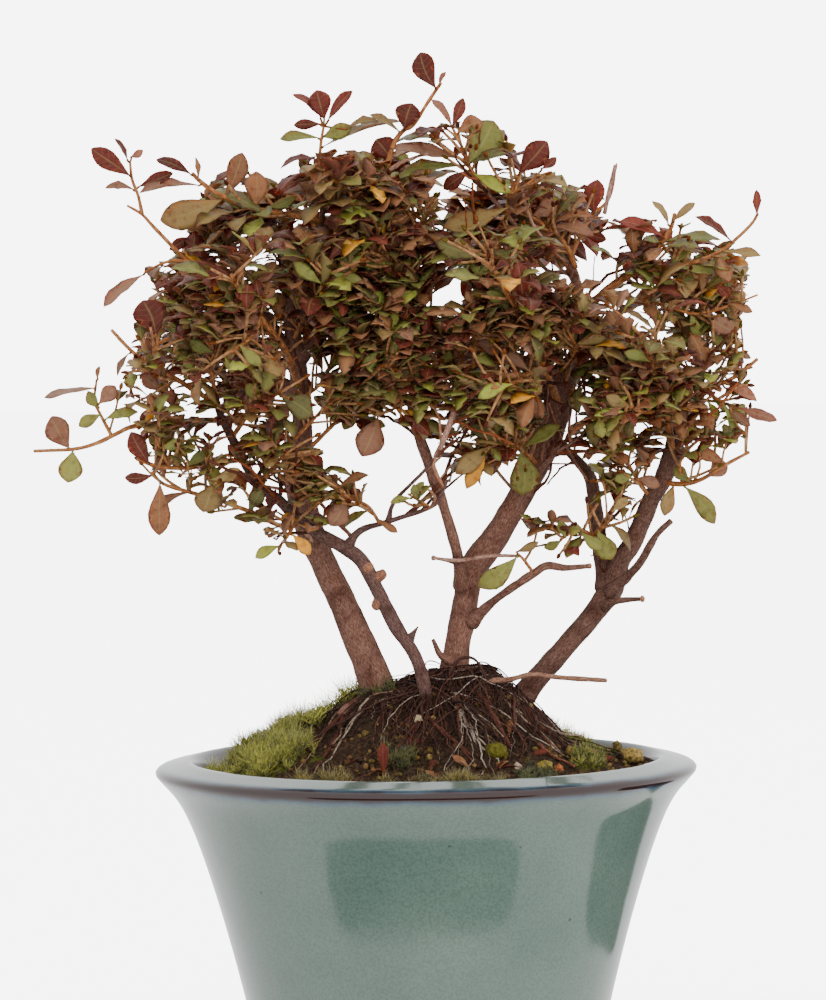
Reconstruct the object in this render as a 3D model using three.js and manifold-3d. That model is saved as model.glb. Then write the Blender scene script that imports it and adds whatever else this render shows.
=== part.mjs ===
// Satsuki azalea bonsai in a flared, glazed pot, in millimetres with +Z up.
// The origin is the centre of the pot's flat underside. The front view looks along +Y.
import * as THREE from "three";
import { mergeVertices } from "three/addons/utils/BufferGeometryUtils.js";
import Module from "manifold-3d";

const wasm = await Module();
wasm.setup();

// Clearance kept between neighbouring pieces.
const GAP = 0.3;
// Edges shorter than this are closed up after a join.
const SLIVER = 0.01;
// A limb at least this wide at its root, in squares, has four sides. A thinner one has three.
const STOUT_LIMB = 12;
const ROOT_LIFT = 0.9;
const STOUT_TWIG = 6;
// A stem runs on this far past its last leaf's foot.
const STEM_END = 0.8;

// Pot: radius and height of the outside, from the foot to the outer edge of the lip.
const POT_SIDES = 32;
const RIM_Z = 111.5;
const FOOT_R = 54;
const POT_OUTSIDE = [
  [FOOT_R, 0],
  [55.2, 3],
  [58.3, 17],
  [66.3, 51],
  [71, 67],
  [76.3, 83],
  [80.4, 93.8],
  [84, 99.4],
  [88.2, 104.2],
  [90.3, 107.2],
  [88.6, 109],
];
// The inside, from the lip's inner edge down to the floor.
const POT_INSIDE = [
  [78.4, 111.5],
  [77, 109.4],
  [74.6, 100],
  [52, 14],
];
const FLOOR_Z = 8;
const FLOOR_R = 46;
const DRAIN = { r: 6, at: 24, count: 3, sides: 12 };
const CHANNEL = { wide: 10, deep: 3 };
const SCREEN = { r: 33, thick: 1, sides: 16 };

// Soil: the mound's ridge seen from the front, as [x, height above the rim].
const RIDGE = [
  [-76, -7],
  [-67, -3.7],
  [-60, 3],
  [-48.7, 7.3],
  [-35.3, 11.7],
  [-27, 16.3],
  [-20, 20.7],
  [-13.7, 22.3],
  [1.3, 26.3],
  [18, 28.3],
  [24.7, 25],
  [31.3, 19.7],
  [38, 13],
  [46.3, 3],
  [60, -0.5],
  [76, -2],
];
// Its edge meets the pot's wall this far below the rim on the left and right, and the mound falls
// off in front and behind over its spread.
const SOIL = {
  sides: 24, rings: 6, leftEdge: -6.5, rightEdge: -3, spread: 36, wallR: 75.5, topR: 75, floorR: 45.6,
};
// Depths between which the front view's line of sight is searched for the mound.
const SEARCH = { near: -74, far: 40, step: 2, halvings: 12 };

// Front view: a drawing with three squares to the millimetre, x to the right and y down,
// seen by an eye 1.8 m before the pot and a little above its rim.
const GRID = { perMm: 3, midX: 413, midY: 500, turn: THREE.MathUtils.degToRad(0.7) };
const AIM = new THREE.Vector3(-3.3, 0, RIM_Z + 85.7);
const EYE = new THREE.Vector3(-3.3, -1800, RIM_Z + 180);

// Wood: [x, y, depth in mm, width in squares] along each limb, from its root outwards.
const TRUNKS = {
  trunk_left: {
    sides: 7,
    limbs: [
      [[386, 726, 2, 36], [379, 692, 2, 35], [349, 617, 6, 29], [326, 568, 9, 27],
        [312, 535, 11, 27], [303, 505, 12, 28], [298, 472, 13, 27], [303, 441, 12, 21],
        [301, 396, 10, 21], [297, 357, 8, 17], [290, 320, 6, 13], [286, 300, 6, 10]],
      [[299, 370, 9, 13], [268, 318, 4, 10], [240, 285, -4, 8], [212, 268, -12, 6]],
      [[290, 322, 6, 12], [300, 280, 2, 9], [318, 235, -2, 7], [324, 204, -6, 5.5]],
      [[301, 396, 10, 15], [262, 372, 14, 11], [215, 352, 18, 8], [170, 335, 20, 6]],
      [[298, 362, 8, 12], [332, 322, 4, 9], [352, 300, 2, 7], [370, 262, 2, 6]],
      [[300, 282, 2, 8], [335, 250, -6, 7], [362, 215, -10, 6], [388, 165, -12, 6]],
      [[380, 700, 2, 20], [352, 708, -6, 13], [340, 716, -10, 8]],
    ],
  },
  trunk_front: {
    sides: 7,
    limbs: [
      [[428, 740, -12, 16], [427, 712, -14, 15], [425, 690, -14, 14], [416, 658, -13, 13],
        [396, 627, -12, 14], [377, 590, -11, 14], [362, 562, -11, 14], [346, 549, -11, 15],
        [318, 533, -11, 12], [295, 516, -12, 11], [279, 500, -13, 11], [260, 487, -14, 10],
        [246, 466, -16, 9], [233, 440, -18, 9], [221, 415, -20, 8], [215, 395, -20, 7]],
      [[345, 549, -11, 10], [360, 531, -13, 8], [387, 522, -17, 7], [429, 508, -23, 6],
        [440, 497, -25, 5], [447, 480, -27, 5]],
      [[388, 521, -17, 6], [395, 501, -21, 5.5], [425, 470, -26, 5], [439, 451, -28, 5],
        [454, 413, -30, 5]],
      [[364, 566, -11, 10], [370, 569, -14, 8]],
      [[376, 578, -11, 9], [385, 572, -12, 7]],
      [[380, 600, -11, 9], [374, 609, -13, 7]],
      [[408, 640, -12, 9], [416, 630, -13, 7]],
    ],
  },
  trunk_center: {
    sides: 7,
    limbs: [
      [[452, 726, 8, 36], [452, 690, 8, 31], [457, 650, 8, 27], [466, 600, 8, 25],
        [472, 570, 8, 29], [490, 545, 8, 28], [506, 520, 9, 25], [528, 482, 10, 24],
        [547, 444, 11, 26], [557, 415, 11, 25], [560, 386, 12, 32], [573, 360, 12, 16],
        [580, 314, 12, 12], [576, 280, 11, 9], [566, 252, 10, 6]],
      [[462, 585, 6, 13], [456, 549, -4, 12], [444, 507, -8, 11], [433, 476, -10, 12],
        [422, 444, -10, 12], [414, 422, -12, 9], [408, 395, -14, 7]],
      [[471, 622, 6, 12], [498, 598, -2, 9], [532, 575, -6, 9], [547, 566, -7, 8],
        [566, 568, -7, 6], [590, 566, -8, 5]],
      [[455, 664, 6, 10], [441, 656, 2, 8], [433, 640, 0, 6]],
      [[545, 392, 12, 12], [508, 374, 4, 9], [464, 355, -4, 8], [439, 334, -8, 7],
        [423, 312, -10, 7], [410, 290, -12, 6], [394, 264, -14, 5]],
      [[555, 392, 8, 10], [540, 388, -2, 8], [550, 374, -5, 7], [566, 367, -6, 5]],
      [[577, 285, 12, 8], [567, 273, 10, 7], [548, 271, 8, 6], [531, 252, 4, 6],
        [515, 226, -2, 6], [492, 199, -6, 5.5], [475, 180, -8, 5]],
      [[531, 252, 4, 6], [508, 262, 2, 5], [485, 271, 1, 5], [458, 277, 0, 5],
        [437, 266, -2, 5], [432, 240, -3, 5], [429, 220, -4, 5]],
      [[437, 266, -2, 4.5], [395, 258, -4, 4.5], [380, 247, -5, 4]],
      [[536, 474, 6, 8], [557, 452, -4, 5], [582, 435, -6, 5], [597, 406, -8, 5]],
      [[457, 562, -3, 6], [433, 558, -6, 4.5]],
      [[557, 415, 14, 14], [540, 370, 30, 10], [520, 320, 48, 8], [505, 280, 60, 6]],
    ],
  },
  trunk_right: {
    sides: 7,
    limbs: [
      [[510, 722, 4, 28], [522, 699, 4, 26], [547, 668, 4, 22], [571, 641, 4, 21],
        [595, 612, 5, 22], [610, 590, 6, 25], [620, 562, 4, 20], [631, 545, 3, 19],
        [643, 519, 2, 19], [652, 497, 0, 18], [663, 479, -2, 18], [672, 454, -4, 19],
        [674, 435, -4, 14], [680, 400, -4, 9], [686, 372, -5, 7]],
      [[608, 588, 6, 18], [604, 568, 8, 17], [599, 545, 9, 16], [597, 527, 9, 15],
        [593, 492, 12, 14], [588, 474, 15, 12], [573, 456, 21, 10], [560, 445, 27, 8]],
      [[610, 592, 2, 12], [637, 567, -8, 9], [656, 536, -14, 7], [671, 521, -17, 6]],
      [[604, 606, 3, 10], [618, 601, -2, 8], [643, 599, -4, 6]],
      [[672, 456, -4, 13], [690, 420, 20, 9], [700, 380, 40, 7], [698, 345, 52, 6]],
    ],
  },
};

// A dead stick whose end is stuck in the mound.
const DEAD_STICK = [
  [478, 696, -9, 6], [488, 683, -10, 6], [510, 680, -11, 5], [532, 675, -11, 5],
  [560, 678, -11, 5], [607, 681, -11, 4.5],
];

// Surface roots: [trunk, width in squares, [x, y, depth] inside the trunk, then points of the
// drawing that lie on the mound].
const ROOTS = [
  ["trunk_front", 6, [427, 706, -14], [428, 722], [440, 734], [455, 746], [471, 760]],
  ["trunk_front", 5, [425, 700, -14], [421, 722], [408, 738], [398, 752], [394, 764]],
  ["trunk_left", 6, [346, 712, -8], [336, 726], [318, 742], [304, 754]],
  ["trunk_left", 5, [342, 715, -9], [341, 730], [330, 752], [318, 770]],
  ["trunk_center", 5, [456, 688, 4], [458, 700], [458, 716], [460, 743]],
  ["trunk_center", 6, [456, 690, 7], [480, 700], [496, 726], [510, 750]],
  ["trunk_right", 6, [522, 700, 2], [528, 714], [540, 730], [556, 742]],
];

// Pebbles that sit in the mound: [x, y, depth, radius in mm].
const PEBBLES = [[633, 759, -14, 4], [545, 769, -42, 2.6]];

// Leafy sprays: [name, trunk, seed, side shoots, twigs, leaves].
// A twig is its width, then [x, y, depth] points. The first one starts inside its limb.
// A leaf is [x, y] of its foot, [x, y] of its tip and its width as seen.
const SPRAYS = [
  ["spray_upper_left_tip", "trunk_left", 101, 3,
    [[5, [216, 270, -12], [189, 261, -14], [157, 230, -16], [143, 215, -17], [128, 206, -18]],
      [4.5, [143, 215, -17], [139, 196, -18], [133, 180, -19], [131, 163, -20]],
      [4, [189, 261, -14], [168, 262, -15], [146, 272, -17]]],
    [[132, 177, 92, 149, 20], [129, 162, 116, 139, 5], [131, 158, 144, 151, 8],
      [136, 191, 106, 188, 8], [138, 188, 174, 174, 13], [145, 274, 104, 307, 13]]],
  ["spray_upper_left_long", "trunk_left", 102, 3,
    [[7, [322, 222, -5], [290, 215, -8], [257, 210, -11], [229, 199, -13], [213, 191, -15],
      [200, 181, -16], [193, 174, -17]]],
    [[193, 176, 157, 160, 12], [201, 186, 140, 194, 8], [199, 181, 196, 158, 5],
      [226, 197, 243, 153, 22], [255, 208, 257, 172, 25], [267, 208, 297, 197, 12],
      [223, 200, 161, 221, 31]]],
  ["spray_top_left", "trunk_left", 103, 2,
    [[5, [324, 208, -6], [321, 184, -8], [320, 165, -9], [321, 146, -10], [324, 127, -11]]],
    [[325, 121, 317, 91, 24], [322, 120, 295, 93, 9], [328, 122, 353, 92, 12],
      [322, 125, 294, 126, 11], [320, 139, 280, 139, 11], [322, 138, 352, 127, 17],
      [346, 130, 379, 123, 8], [322, 148, 398, 117, 7], [319, 161, 280, 166, 7]]],
  ["spray_left_shoulder", "trunk_left", 104, 5,
    [[5, [318, 235, -2], [305, 206, 10], [290, 190, 20], [268, 188, 26]]],
    [[272, 189, 240, 181, 10]]],
  ["spray_left_high", "trunk_left", 105, 6,
    [[5, [240, 285, -4], [236, 262, 8], [228, 240, 18], [218, 222, 24]],
      [4, [236, 262, 8], [214, 244, 6], [196, 236, 4]]],
    [[196, 238, 170, 250, 12]]],
  ["spray_left_middle", "trunk_left", 106, 6,
    [[5, [215, 352, 18], [200, 328, 12], [190, 305, 6], [180, 285, 2]]],
    []],
  ["spray_left_rear", "trunk_left", 107, 6,
    [[5, [174, 336, 20], [158, 345, 26], [148, 360, 32]],
      [4, [158, 345, 26], [162, 320, 32], [170, 300, 36]]],
    []],
  ["spray_left_front", "trunk_left", 108, 9,
    [[8, [299, 384, 7], [285, 350, -14], [262, 320, -32], [245, 300, -42], [232, 275, -50]],
      [5, [262, 320, -32], [250, 338, -44], [232, 352, -54]]],
    [[236, 282, 206, 268, 14], [240, 345, 262, 366, 13]]],
  ["spray_heart_front", "trunk_left", 109, 6,
    [[5, [294, 340, 7], [304, 318, -12], [318, 296, -26], [330, 272, -34]]],
    [[322, 284, 294, 262, 15], [328, 262, 352, 238, 13], [330, 272, 362, 280, 12]]],
  ["spray_heart_left", "trunk_left", 110, 5,
    [[5, [344, 308, 3], [362, 322, -12], [378, 338, -24], [388, 356, -32]]],
    [[386, 350, 362, 372, 14]]],
  ["spray_heart_high", "trunk_left", 111, 6,
    [[5, [369, 266, 2], [364, 240, 10], [370, 216, 18], [380, 196, 24]]],
    [[370, 232, 346, 222, 12]]],
  ["spray_upper_heart", "trunk_left", 112, 5,
    [[5, [360, 218, -10], [350, 197, -24], [342, 180, -34]]],
    [[346, 194, 372, 198, 9]]],
  ["spray_top_middle", "trunk_left", 113, 2,
    [[6, [387, 168, -12], [394, 144, -13], [404, 131, -14], [413, 126, -14],
      [430, 100, -15], [441, 84, -16]]],
    [[400, 133, 371, 114, 7], [404, 131, 412, 104, 26], [436, 90, 420, 53, 24],
      [439, 87, 446, 73, 5], [391, 160, 376, 140, 27]]],
  ["spray_back_left_high", "trunk_left", 114, 9,
    [[7, [300, 384, 12], [306, 340, 28], [300, 295, 44], [292, 262, 56], [272, 236, 64]],
      [5, [300, 295, 44], [320, 268, 48], [342, 246, 52]]],
    []],
  ["spray_back_left_low", "trunk_left", 115, 9,
    [[7, [302, 432, 14], [270, 410, 30], [235, 380, 44], [200, 356, 54]],
      [5, [270, 410, 30], [262, 378, 40], [258, 346, 50]]],
    []],
  ["spray_far_left", "trunk_front", 116, 2,
    [[6, [224, 420, -19], [180, 421, -23], [135, 426, -26], [116, 434, -27], [97, 443, -27],
      [74, 449, -28], [34, 451, -29]],
      [4, [112, 436, -27], [101, 415, -28], [95, 401, -29], [97, 380, -29]]],
    [[70, 449, 52, 416, 26], [73, 450, 68, 483, 25], [96, 388, 44, 396, 8],
      [99, 404, 116, 386, 17], [100, 408, 88, 391, 12], [102, 414, 79, 426, 13],
      [104, 420, 138, 411, 11], [98, 380, 100, 366, 5]]],
  ["spray_low_left", "trunk_front", 117, 4,
    [[6, [302, 521, -11], [282, 526, -13], [256, 514, -18], [221, 501, -24], [193, 493, -28],
      [164, 484, -30], [152, 472, -32]],
      [4, [221, 501, -24], [214, 488, -30], [208, 476, -33]]],
    [[154, 475, 124, 478, 12], [160, 482, 159, 536, 23], [192, 492, 152, 513, 8],
      [212, 484, 203, 512, 28], [210, 480, 240, 469, 13], [248, 511, 262, 488, 16]]],
  ["spray_low_middle", "trunk_front", 118, 5,
    [[6, [243, 459, -17], [214, 464, -24], [183, 468, -27], [156, 466, -30], [137, 459, -32]],
      [4, [170, 467, -29], [160, 448, -33], [156, 432, -35]]],
    [[150, 464, 131, 432, 20], [186, 467, 212, 452, 12], [160, 448, 182, 440, 12]]],
  ["spray_left_outer", "trunk_front", 119, 6,
    [[6, [218, 404, -20], [194, 390, -24], [175, 378, -26], [152, 367, -28], [131, 350, -29],
      [112, 330, -30]],
      [4, [152, 367, -28], [158, 345, -31], [156, 334, -33]],
      [4, [175, 378, -26], [160, 396, -19], [150, 404, -16]]],
    [[157, 338, 143, 300, 34], [162, 392, 142, 376, 15], [131, 352, 118, 376, 6]]],
  ["spray_front_tip", "trunk_front", 120, 6,
    [[5, [216, 398, -20], [212, 370, -24], [216, 345, -27], [224, 322, -28]]],
    [[214, 352, 190, 340, 13]]],
  ["spray_front_middle", "trunk_front", 121, 6,
    [[5, [232, 438, -18], [246, 418, -26], [262, 402, -33], [282, 392, -38]]],
    [[280, 396, 312, 416, 26], [262, 402, 246, 384, 14]]],
  ["spray_front_low", "trunk_front", 122, 5,
    [[5, [260, 487, -14], [272, 468, -22], [288, 452, -27]]],
    [[276, 464, 300, 470, 12]]],
  ["spray_low_yellow", "trunk_front", 123, 4,
    [[5, [297, 517, -12], [290, 532, -19], [280, 546, -22]]],
    [[298, 522, 281, 517, 15], [280, 546, 255, 558, 12], [292, 534, 310, 555, 14]]],
  ["spray_arm", "trunk_front", 124, 4,
    [[4, [380, 524, -16], [368, 506, -20], [350, 498, -22], [334, 484, -23]]],
    [[346, 498, 330, 526, 24], [338, 488, 368, 474, 9], [370, 510, 342, 526, 9],
      [376, 518, 398, 532, 8]]],
  ["spray_arm_tip", "trunk_front", 125, 2,
    [[4, [430, 508, -23], [418, 500, -27], [408, 494, -29]]],
    [[412, 498, 390, 502, 8], [418, 500, 414, 484, 9], [409, 495, 424, 482, 9]]],
  ["spray_center_low", "trunk_center", 126, 4,
    [[4, [410, 402, -13], [396, 408, -17], [378, 416, -18]],
      [4, [396, 408, -17], [402, 384, -20], [408, 362, -22]]],
    [[378, 417, 362, 456, 30], [406, 376, 431, 357, 18], [398, 409, 424, 418, 11]]],
  ["spray_inner_arc", "trunk_center", 127, 5,
    [[4, [464, 355, -4], [470, 344, -18], [480, 334, -30], [492, 326, -38]]],
    [[473, 345, 505, 366, 13], [474, 342, 504, 350, 18], [466, 350, 440, 362, 12]]],
  ["spray_inner_top", "trunk_center", 128, 4,
    [[4, [396, 268, -14], [384, 256, -18], [372, 250, -21]]],
    [[392, 264, 356, 266, 13], [380, 252, 406, 240, 12]]],
  ["spray_upper_middle", "trunk_center", 129, 5,
    [[4, [430, 226, -4], [414, 214, -14], [398, 206, -22]]],
    [[412, 216, 388, 228, 16], [428, 216, 436, 196, 14]]],
  ["spray_crown_front", "trunk_center", 130, 2,
    [[5, [480, 186, -7], [468, 165, -11], [462, 148, -13], [452, 128, -14]]],
    [[468, 164, 494, 121, 38], [468, 165, 510, 153, 11], [461, 160, 390, 147, 14],
      [463, 166, 396, 178, 14], [470, 170, 443, 190, 15], [472, 174, 511, 193, 15],
      [457, 134, 482, 122, 20], [452, 128, 463, 99, 12], [452, 128, 432, 100, 9]]],
  ["spray_crown_right", "trunk_center", 131, 4,
    [[5, [505, 215, -4], [510, 195, -9], [518, 176, -11]],
      [4, [510, 195, -9], [528, 184, -12], [540, 172, -13]]],
    [[518, 174, 547, 142, 27], [508, 208, 443, 228, 22], [540, 170, 556, 158, 9],
      [535, 176, 560, 182, 9]]],
  ["spray_orange_twig", "trunk_center", 132, 4,
    [[6, [575, 268, 10], [566, 246, 6], [552, 232, 4], [530, 216, 0]]],
    [[532, 216, 556, 202, 21], [550, 228, 593, 234, 14], [548, 226, 590, 214, 7]]],
  ["spray_crown_rear", "trunk_center", 133, 5,
    [[5, [569, 260, 10], [580, 236, 22], [592, 215, 30]],
      [4, [592, 215, 30], [609, 198, 32], [616, 164, 32]]],
    [[594, 214, 597, 180, 22], [582, 234, 606, 240, 12]]],
  ["spray_center_high", "trunk_center", 134, 5,
    [[5, [526, 244, 3], [512, 252, -12], [498, 258, -24], [484, 256, -32]]],
    [[512, 252, 532, 262, 13], [496, 257, 486, 240, 18], [484, 256, 436, 242, 25]]],
  ["spray_center_front", "trunk_center", 135, 10,
    [[8, [558, 402, 8], [544, 366, -14], [526, 326, -34], [506, 292, -46], [490, 262, -52]],
      [5, [544, 366, -14], [530, 372, -30], [512, 384, -42], [492, 388, -48]]],
    [[512, 384, 478, 398, 14], [530, 372, 500, 352, 14], [512, 302, 486, 292, 14]]],
  ["spray_center_middle", "trunk_center", 136, 5,
    [[5, [538, 464, 8], [520, 450, -4], [504, 442, -10], [488, 446, -14]]],
    [[520, 450, 522, 496, 31], [490, 446, 455, 474, 20], [500, 442, 468, 424, 15],
      [486, 450, 466, 488, 16], [522, 448, 560, 424, 14]]],
  ["spray_knob", "trunk_center", 137, 5,
    [[5, [566, 378, 9], [572, 358, -10], [574, 344, -22], [564, 326, -30]]],
    [[574, 350, 562, 332, 22], [574, 346, 606, 338, 13]]],
  ["spray_low_sprig", "trunk_center", 138, 1,
    [[4, [534, 574, -6], [524, 560, -9], [516, 552, -11]]],
    [[518, 556, 478, 588, 22], [516, 552, 538, 542, 9]]],
  ["spray_back_center_high", "trunk_center", 139, 9,
    [[6, [508, 288, 57], [495, 262, 62], [480, 238, 66]],
      [5, [495, 262, 62], [520, 244, 60], [545, 228, 56]]],
    []],
  ["spray_back_center_low", "trunk_center", 140, 9,
    [[6, [532, 352, 36], [512, 376, 44], [480, 384, 52], [446, 376, 56]],
      [5, [512, 376, 44], [500, 410, 48], [498, 440, 50]]],
    []],
  ["spray_right_top", "trunk_center", 141, 6,
    [[7, [580, 318, 12], [606, 291, 4], [627, 277, 0], [645, 262, -4], [659, 246, -6],
      [670, 229, -8], [674, 214, -9]],
      [5, [627, 277, 0], [650, 270, -3], [681, 266, -6], [713, 255, -8], [731, 243, -9],
        [750, 225, -10], [757, 214, -10]]],
    [[668, 226, 653, 200, 8], [672, 222, 694, 203, 9], [664, 238, 619, 221, 14],
      [662, 242, 720, 239, 10], [756, 216, 755, 190, 9], [731, 242, 695, 216, 9],
      [722, 252, 760, 254, 9], [676, 267, 715, 272, 9], [668, 267, 690, 248, 9],
      [648, 270, 674, 286, 10]]],
  ["spray_right_middle", "trunk_center", 142, 6,
    [[7, [581, 330, 12], [610, 318, 6], [636, 302, 4], [668, 293, 2], [699, 286, 0],
      [731, 280, -2], [743, 273, -3]],
      [4, [636, 302, 4], [659, 304, -2], [674, 309, -5], [697, 314, -7], [728, 306, -8],
        [757, 295, -9]]],
    [[700, 286, 676, 274, 12], [708, 285, 731, 268, 9], [712, 284, 729, 300, 12],
      [706, 312, 733, 332, 22], [690, 312, 698, 338, 12], [728, 304, 752, 312, 9],
      [652, 303, 664, 330, 12]]],
  ["spray_right_lower", "trunk_right", 143, 5,
    [[6, [682, 398, -4], [696, 372, 0], [706, 346, 2], [708, 322, 2]],
      [4, [696, 372, 0], [716, 358, -6], [733, 350, -8]]],
    [[733, 350, 740, 340, 8], [733, 351, 751, 358, 7], [712, 360, 690, 364, 10],
      [706, 346, 662, 340, 10], [708, 324, 722, 348, 12]]],
  ["spray_right_tip", "trunk_right", 144, 5,
    [[6, [676, 424, -4], [706, 392, -12], [736, 376, -16], [757, 359, -19]],
      [4, [706, 392, -12], [722, 402, -17], [736, 408, -19]]],
    [[724, 388, 757, 400, 11], [736, 407, 777, 420, 12], [728, 406, 750, 426, 11],
      [722, 402, 735, 434, 10]]],
  ["spray_right_low", "trunk_right", 145, 4,
    [[6, [662, 482, -2], [682, 484, -8], [702, 479, -11], [725, 465, -15], [749, 452, -18]],
      [4, [682, 484, -8], [680, 464, -14], [688, 446, -17]]],
    [[727, 464, 694, 450, 14], [706, 477, 728, 466, 16], [690, 482, 675, 466, 14],
      [684, 486, 715, 524, 19], [674, 484, 664, 516, 15]]],
  ["spray_right_front", "trunk_right", 146, 9,
    [[7, [672, 448, -6], [666, 410, -24], [654, 372, -38], [642, 334, -46]],
      [5, [666, 410, -24], [644, 412, -34], [624, 404, -42]]],
    [[650, 362, 624, 352, 13], [630, 406, 606, 396, 13]]],
  ["spray_fork", "trunk_right", 147, 5,
    [[5, [600, 548, 7], [592, 536, -2], [578, 530, -8], [560, 540, -11]],
      [4, [592, 536, -2], [606, 524, -8], [614, 510, -11]]],
    [[598, 530, 612, 560, 24], [580, 531, 604, 549, 13], [606, 522, 630, 552, 8],
      [562, 540, 544, 548, 10], [566, 538, 560, 520, 10], [612, 512, 628, 498, 11]]],
  ["spray_right_inner", "trunk_right", 148, 6,
    [[5, [652, 500, 0], [636, 478, -6], [622, 452, -10], [612, 428, -12]]],
    [[636, 478, 660, 486, 14], [634, 474, 614, 480, 13]]],
  ["spray_back_right", "trunk_right", 149, 9,
    [[6, [699, 352, 50], [690, 318, 58], [672, 290, 62]],
      [5, [690, 318, 58], [712, 300, 56], [726, 282, 52]]],
    []],
];

// Sprays whose leaves are mostly burgundy. The others are mostly green.
const RED_SPRAYS = [
  "spray_upper_left_tip", "spray_left_outer", "spray_heart_front", "spray_top_middle",
  "spray_crown_right", "spray_orange_twig", "spray_crown_rear", "spray_right_tip",
  "spray_left_shoulder", "spray_inner_arc",
];

// The mass of foliage seen from the front: the ruled shoots keep inside it and out of its windows.
const CROWN = [
  [118, 396], [126, 370], [130, 345], [148, 300], [160, 265], [178, 242], [188, 215],
  [215, 178], [255, 170], [290, 180], [312, 156], [330, 150], [380, 148], [402, 136],
  [440, 122], [500, 122], [520, 158], [560, 180], [600, 186], [625, 222], [670, 216],
  [700, 230], [738, 240], [748, 290], [740, 330], [750, 360], [754, 400], [748, 430],
  [736, 452], [708, 482], [690, 502], [640, 505], [626, 548], [600, 572], [560, 562],
  [524, 552], [516, 500], [500, 476], [476, 494], [440, 504], [424, 512], [398, 506],
  [428, 470], [424, 452], [396, 450], [380, 440], [350, 432], [320, 416], [316, 440],
  [322, 466], [372, 478], [372, 534], [330, 534], [300, 560], [258, 560], [250, 524],
  [220, 514], [190, 506], [158, 490], [136, 474], [130, 430],
];
const WINDOWS = [
  [433, 272, 465, 314], [320, 352, 342, 372], [340, 432, 424, 470], [556, 470, 586, 520],
];

// A side shoot. Its root lies from the share first to the share last along its spray's twigs, in
// even steps. A shake is the whole range of a drawn number that makes the growth uneven.
const SHOOT = {
  lengthMm: [8, 17], rootR: 0.65, tipR: 0.85, lean: [0.6, 1.25], lift: 0.35,
  first: 0.16, last: 0.98, inStep: 0.35, stepShake: 0.6, turnShake: 1.2,
};
// Azalea leaves sit in a whorl at each shoot's tip, with a few smaller ones lower down its stem.
const LEAF = {
  lengthMm: [7.5, 12.5], aspect: 0.38, aspectShake: 0.1, thick: 0.9, arch: 0.07, keel: 0.1, lift: 0.18,
};
const WHORL = { least: 4, most: 6, spread: 1, spreadShake: 0.45, turnShake: 0.7, step: 0.05, size: 1 };
const STEM_LEAVES = { count: 2, spread: 1.15, spreadShake: 0.3, from: 0.65, step: 0.3, size: 0.85 };
// A ruled leaf's upper face looks up, partly along its shoot, and partly to the front.
const FACE = { along: 0.5, rollShake: 0.9, frontShake: 0.7 };
// A drawn leaf lies a little before its twig, and its tip a little nearer or further.
const DRAWN_LEAF = { before: 1, depthShake: 4, tipShake: 0.5 };
const SOLID_SHOOTS = 0.2;
const SOLID_WHORL = 3;
// A twig's radius at its end is this much less than at its start.
const TWIG_TAPER = 0.3;
const ROOT_TAPER = 0.12;
const PETIOLE_R = 0.6;
const STALK_FROM = 7;
const FOOT_FROM_AXIS = 0.15;
const BENDS = [0, 0.3, -0.3, 0.6, -0.6];
const GOLDEN_ANGLE = 2.39996;

const UP = new THREE.Vector3(0, 0, 1);
const SIGHT = new THREE.Vector3(0, 1, 0);

// A repeatable stream of numbers from 0 to 1.
function numbers(seed) {
  let state = (seed * 48271) % 2147483647;
  return () => {
    state = (state * 16807) % 2147483647;
    return state / 2147483647;
  };
}

const between = ([low, high], share) => low + (high - low) * share;
const shaken = (middle, range, next) => middle + range * (next() - 0.5);

// The point of the model that a point of the drawing shows, at a depth in mm.
function seen(x, y, depth) {
  const right = (x - GRID.midX) / GRID.perMm;
  const up = (GRID.midY - y) / GRID.perMm;
  const onPlane = new THREE.Vector3(
    AIM.x + Math.cos(GRID.turn) * right + Math.sin(GRID.turn) * up,
    0,
    AIM.z - Math.sin(GRID.turn) * right + Math.cos(GRID.turn) * up,
  );
  const ray = onPlane.sub(EYE);
  return EYE.clone().addScaledVector(ray, (depth - EYE.y) / ray.y);
}

// Where the drawing shows a point of the model.
function drawn(point) {
  const ray = point.clone().sub(EYE);
  const on = EYE.clone().addScaledVector(ray, -EYE.y / ray.y).sub(AIM);
  const right = on.x * Math.cos(GRID.turn) - on.z * Math.sin(GRID.turn);
  const up = on.x * Math.sin(GRID.turn) + on.z * Math.cos(GRID.turn);
  return [GRID.midX + right * GRID.perMm, GRID.midY - up * GRID.perMm];
}

function insideCrown(point) {
  const [x, y] = drawn(point);
  if (WINDOWS.some(([x0, y0, x1, y1]) => x > x0 && x < x1 && y > y0 && y < y1)) return false;
  let inside = false;
  CROWN.forEach(([ax, ay], i) => {
    const [bx, by] = CROWN[(i + 1) % CROWN.length];
    if (ay > y !== by > y && x < ax + ((bx - ax) * (y - ay)) / (by - ay)) inside = !inside;
  });
  return inside;
}

// Height of the soil at a place inside the pot.
function groundAt(x, y) {
  const i = Math.max(1, RIDGE.findIndex(([rx]) => rx >= Math.min(x, 75.9)));
  const [x0, h0] = RIDGE[i - 1];
  const [x1, h1] = RIDGE[i];
  const ridge = THREE.MathUtils.lerp(h0, h1, THREE.MathUtils.clamp((x - x0) / (x1 - x0), 0, 1));
  const across = Math.exp(-((y / SOIL.spread) ** 2));
  const rim = 1 - THREE.MathUtils.smoothstep(Math.hypot(x, y) / SOIL.wallR, 0.8, 1);
  const edge = THREE.MathUtils.lerp(SOIL.leftEdge, SOIL.rightEdge, THREE.MathUtils.smoothstep(x, 10, 65));
  return RIM_Z + edge + (ridge - edge) * across * rim;
}

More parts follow.
